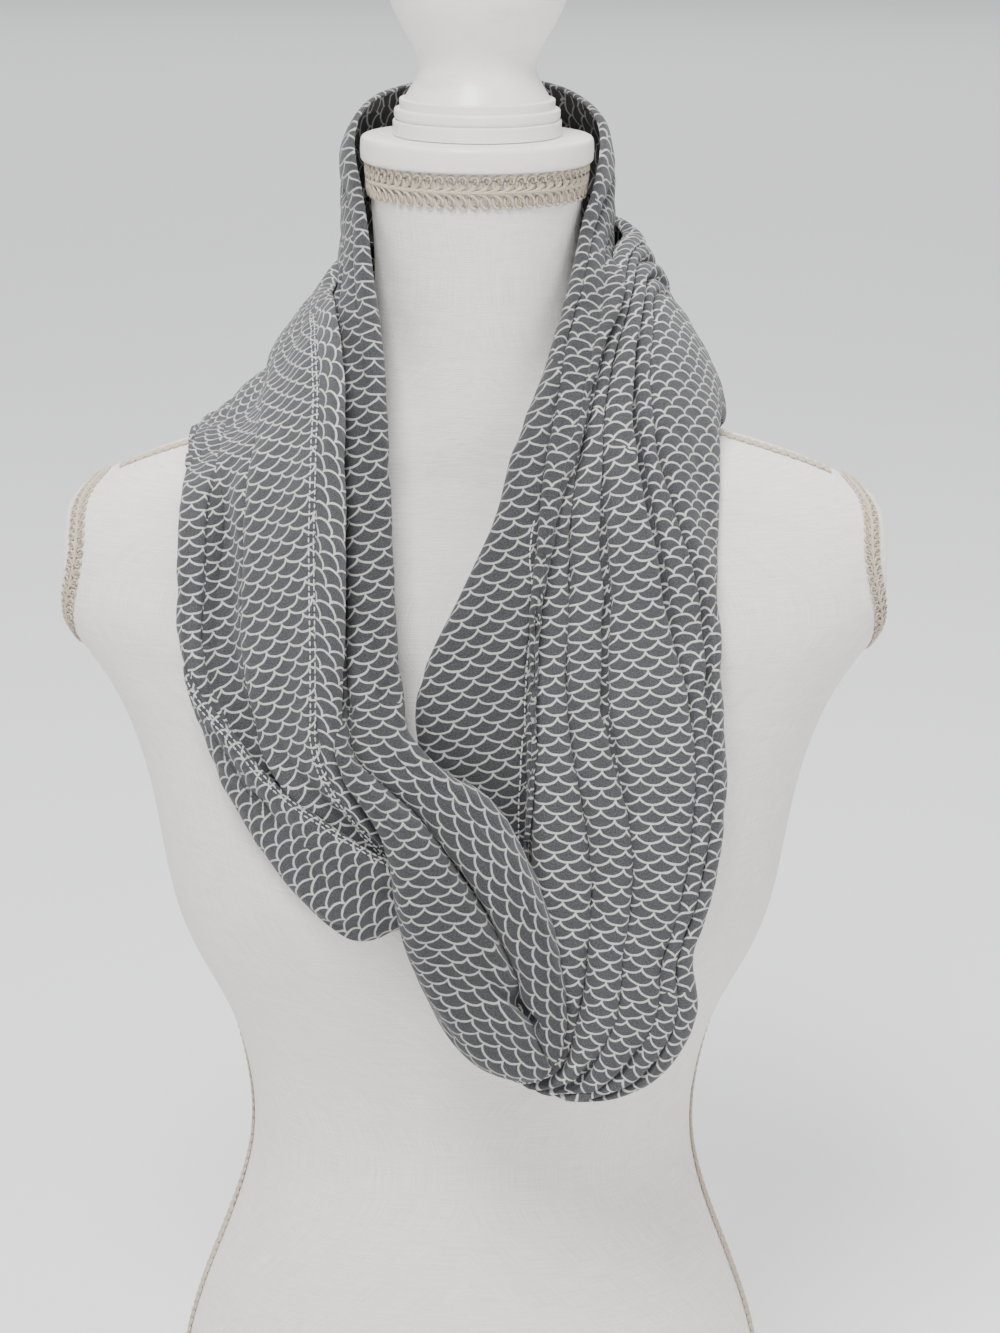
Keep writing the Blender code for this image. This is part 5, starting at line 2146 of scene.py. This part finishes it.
@dataclass
class GimpBraid:
    """Scrolled braid: on both sides of a centre cord, loops of a thick and a thin cord.

    Attributes:
        half: half the braid's width in millimetres.
        pitch: one loop's length along the braid.
        cord: radius of the looped cords.
        lift: height of the cords' middle over the body.
        sweep: how far the loops lean forward.
        curl: how round the loops are, as a share of the pitch.
    """

    half: float = 4.5
    pitch: float = 4.4
    cord: float = 0.56
    lift: float = 0.74
    sweep: float = 1.6
    curl: float = 0.58
    sides: int = 5
    points_in_loop: int = 14

    def build(self, name: str, node: str, course: Course, material: Material) -> None:
        """Makes the braid.

        Args:
            name: the piece's name.
            node: the solid that it stands for.
            course: the line that it follows.
            material: the cord's finish.
        """
        length, closed = course.reach[-1], course.closed
        loops = max(2, round(length / self.pitch))
        pitch = length / loops
        made = Threads()
        for side, strand in ((-1, 0), (-1, 1), (0, 0), (1, 0), (1, 1)):
            count = loops * (self.points_in_loop if side else 4)
            turn = 2 * math.pi * loops * np.arange(count + (not closed)) / count
            along = pitch * turn / (2 * math.pi)
            if side:
                out = self.half * (0.52 - 0.10 * strand - (0.48 - 0.12 * strand) * np.cos(turn)) * side
                swept = self.sweep * (1 - (1 - np.abs(out) / self.half) ** 2)
                along = along + self.curl * (1 - 0.5 * strand) * pitch * np.sin(turn) + swept
                high = self.lift - 0.4 * self.cord * strand + 0.35 * self.cord * np.sin(turn)
                radius = self.cord * (1 - 0.45 * strand)
            else:
                out = 0.25 * self.cord * np.sin(turn * 2)
                high = np.full_like(turn, self.lift + 0.5 * self.cord)
                radius = self.cord * 0.9
            self._tube(made, course.cord(along, out, high), radius, closed)
        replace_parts(made.piece(name, material, Slot.BRAID), node)

    def _tube(self, made: Threads, line: Array, radius: float, closed: bool) -> None:
        """Adds a round cord.

        Args:
            made: the mesh that it goes to.
            line: its middle line.
            radius: its radius.
            closed: whether it closes on itself.
        """
        count, first, sides = len(line), len(made.points), self.sides
        way = np.roll(line, -1, axis=0) - np.roll(line, 1, axis=0) if closed else np.gradient(line, axis=0)
        way = unit(way)
        upright = np.abs(way[:, 2:3]) >= 0.9
        side = unit(np.cross(way, np.where(upright, (1.0, 0.0, 0.0), (0.0, 0.0, 1.0))))
        up = np.cross(side, way)
        reach = reach_along(line)
        girth = 2 * math.pi * radius / sides
        for i in range(count):
            for s in range(sides):
                turn = 2 * math.pi * s / sides
                made.points.append(line[i] + (side[i] * math.cos(turn) + up[i] * math.sin(turn)) * radius)
        for i in range(count if closed else count - 1):
            k = (i + 1) % count
            far = reach[k] if k else reach[i] + np.linalg.norm(line[0] - line[i])
            low, high = first + i * sides, first + k * sides
            for s in range(sides):
                t = (s + 1) % sides
                made.faces.append((low + s, low + t, high + t, high + s))
                made.flat += [(reach[i], s * girth), (reach[i], (s + 1) * girth)]
                made.flat += [(far, (s + 1) * girth), (far, s * girth)]


@dataclass
class BraidTrim:
    """The braid on the dress form. Sizes are in millimetres.

    Attributes:
        neck_drop: how far the neck braid's middle is below the neck's top.
        neck_radius: radius of its line.
        shoulder: y of the shoulder braids, how far out they start, and the spacing of their points.
        armhole_centre: y and z of the armholes' middle.
        armhole_half: half of their depth and of their height.
        seam: y and z of the side seams' upper ends, and z of their lower ends.
        seam_lean: how far forward the side seams go for each millimetre down.
    """

    neck_drop: float = 7.9
    neck_radius: float = 50.0
    shoulder: Row = (4.0, 70.0, 4.2)
    armhole_centre: Row = (6.0, 473.5)
    armhole_half: Row = (50.5, 37.5)
    seam: Row = (6.0, 422.0, 3.0)
    seam_lean: float = 0.05
    wide: GimpBraid = field(default_factory=lambda: GimpBraid(7.1, 5.2, 0.70, 0.95, 2.0, 0.60))
    narrow: GimpBraid = field(default_factory=GimpBraid)

    def build(self, form: DressForm, material: Material) -> None:
        """Makes all of it: round the neck, along the shoulders, round the armholes, down the side seams.

        Args:
            form: the form, with its body made.
            material: the cord's finish.
        """
        body = tree_of(form.body)
        radius, height = self.neck_radius, form.neck_top - self.neck_drop
        turns = np.linspace(0, 2 * math.pi, 96)[:-1]
        ring = [(radius * math.sin(turn), -radius * math.cos(turn), height) for turn in turns]
        self.wide.build("gimp_neck", "neck_braid", Course(ring, body, True), material)
        for side, label in ((-1, "left"), (1, "right")):
            for part, line in self._lines(side).items():
                spots = []
                for start, way in line:
                    spot, _, _, _ = body.ray_cast(Vector(start) * MM, Vector(way))
                    spots.append(np.array(spot) / MM)
                course = Course(spots, body, part == "armhole")
                self.narrow.build(f"gimp_{part}_{label}", f"{part}_braid_{label}", course, material)

    def _lines(self, side: int) -> dict[str, list[tuple[Row, Row]]]:
        """Rays that find a side's braids on the body.

        Args:
            side: -1 for the left and 1 for the right.

        Returns:
            For each braid, where its rays start and which way they go.
        """
        y, start, step = self.shoulder
        down, inward = (0, 0, -1), (-side, 0, 0)
        shoulder = [((side * (start + step * i), y, 700.0), down) for i in range(24)]
        armhole = []
        for turn in np.linspace(0, 2 * math.pi, 73)[:-1]:
            y = self.armhole_centre[0] + self.armhole_half[0] * math.sin(turn)
            z = self.armhole_centre[1] + self.armhole_half[1] * math.cos(turn)
            armhole.append(((side * 300, y, z), inward))
        y, top, foot = self.seam
        seam = [((side * 300, y - self.seam_lean * (top - z), z), inward) for z in np.linspace(top, foot, 60)]
        return {"shoulder": shoulder, "armhole": armhole, "side": seam}


@dataclass
class Studio:
    """Pale floor, soft light and the camera at the photograph's angle. Places are in metres.

    Attributes:
        lens: the camera's focal length in millimetres, for a sensor of that width.
        place: where the camera stands. It looks at the target, rolled by that many degrees.
        lights: for each soft square light its place, its size and its power. They look at the lit place.
        sun: where a weak sun comes from, so that the floor meets the world softly.
        sun_spread: angle of the sun's disc in degrees.
        floor_gap: air between the base and the floor.
    """

    lens: float = 78.77
    sensor: float = 36.0
    place: Row = (0.01224, -1.33883, 0.82932)
    target: Row = (0.01224, 0.0, 0.42)
    roll: float = 0.44
    lit: Row = (0.0, 0.0, 0.42)
    lights: dict[str, tuple[Row, float, float]] = field(
        default_factory=lambda: {
            "key_light": ((-0.45, -1.6, 2.9), 1.0, 124.0),
            "fill_light": ((1.8, -1.6, 1.9), 1.4, 19.0),
            "top_light": ((0.1, 0.5, 2.9), 1.6, 34.0),
            "floor_light": ((0.0, 7.0, 6.0), 8.0, 300.0),
        }
    )
    sun: Row = (0.0, 4.0, 7.0)
    sun_spread: float = 30.0
    sun_strength: float = 0.6
    air: Row = (0.94, 0.96, 1.0, 1.0)
    air_strength: float = 0.65
    floor_half: float = 60.0
    floor_gap: float = 0.0003

    def build(self) -> None:
        """Makes the floor, the lights, the world and the camera."""
        self._floor()
        for name, (place, size, power) in self.lights.items():
            light = bpy.data.lights.new(name, "AREA")
            light.energy, light.size = power, size
            self._aimed(name, light, place, self.lit)
        light = bpy.data.lights.new("even_light", "SUN")
        light.energy, light.angle = self.sun_strength, math.radians(self.sun_spread)
        self._aimed("even_light", light, self.sun, (0.0, 0.0, 0.0))
        world = bpy.data.worlds.new("soft_world")
        world.use_nodes = True
        background = {"Color": self.air, "Strength": self.air_strength}
        Tree(world.node_tree).feed(world.node_tree.nodes["Background"], background)
        bpy.context.scene.world = world
        camera = bpy.data.cameras.new("photo_camera")
        camera.lens, camera.sensor_width = self.lens, self.sensor
        made = self._aimed("photo_camera", camera, self.place, self.target)
        made.rotation_quaternion = made.rotation_quaternion @ Quaternion((0, 0, 1), math.radians(self.roll))
        bpy.context.scene.camera = made

    def _floor(self) -> None:
        """A wide floor, lower than the base by the gap that touching pieces keep."""
        mesh = bpy.data.meshes.new("floor")
        shape = bmesh.new()
        bmesh.ops.create_grid(shape, x_segments=2, y_segments=2, size=self.floor_half)
        shape.to_mesh(mesh)
        shape.free()
        mesh.materials.append(PlainFloor().build())
        floor = bpy.data.objects.new("floor", mesh)
        floor.location.z = -self.floor_gap
        bpy.context.scene.collection.objects.link(floor)
        floor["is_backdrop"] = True

    @staticmethod
    def _aimed(name: str, kind: ID, place: Row, target: Row) -> Object:
        """Puts a light or a camera in the scene.

        Args:
            name: the object's name.
            kind: the light or camera.
            place: where it stands.
            target: what it looks at.

        Returns:
            The object.
        """
        made = bpy.data.objects.new(name, kind)
        made.location = place
        made.rotation_mode = "QUATERNION"
        made.rotation_quaternion = (Vector(target) - Vector(place)).to_track_quat("-Z", "Y")
        bpy.context.scene.collection.objects.link(made)
        return made


def main() -> None:
    """Builds the form, the scarf and the studio, and reports each piece."""
    logging.basicConfig(level=logging.INFO, format="%(name)s: %(message)s")
    form = DressForm()
    form.build_body(Linen().build())
    form.build_wood(PaintedWood().build())
    BraidTrim().build(form, Cord().build())
    # The thread's dark colour is painted shade in the grooves between its plies
    thread = Cord(pale=srgb(226, 226, 224), dark=srgb(176, 177, 178), plies=0.4)
    Scarf().build(thread.build("thread"))
    Studio().build()
    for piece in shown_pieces():
        LOG.info("%s: %d faces", piece.name, len(piece.data.polygons))


if __name__ == "__main__":
    main()
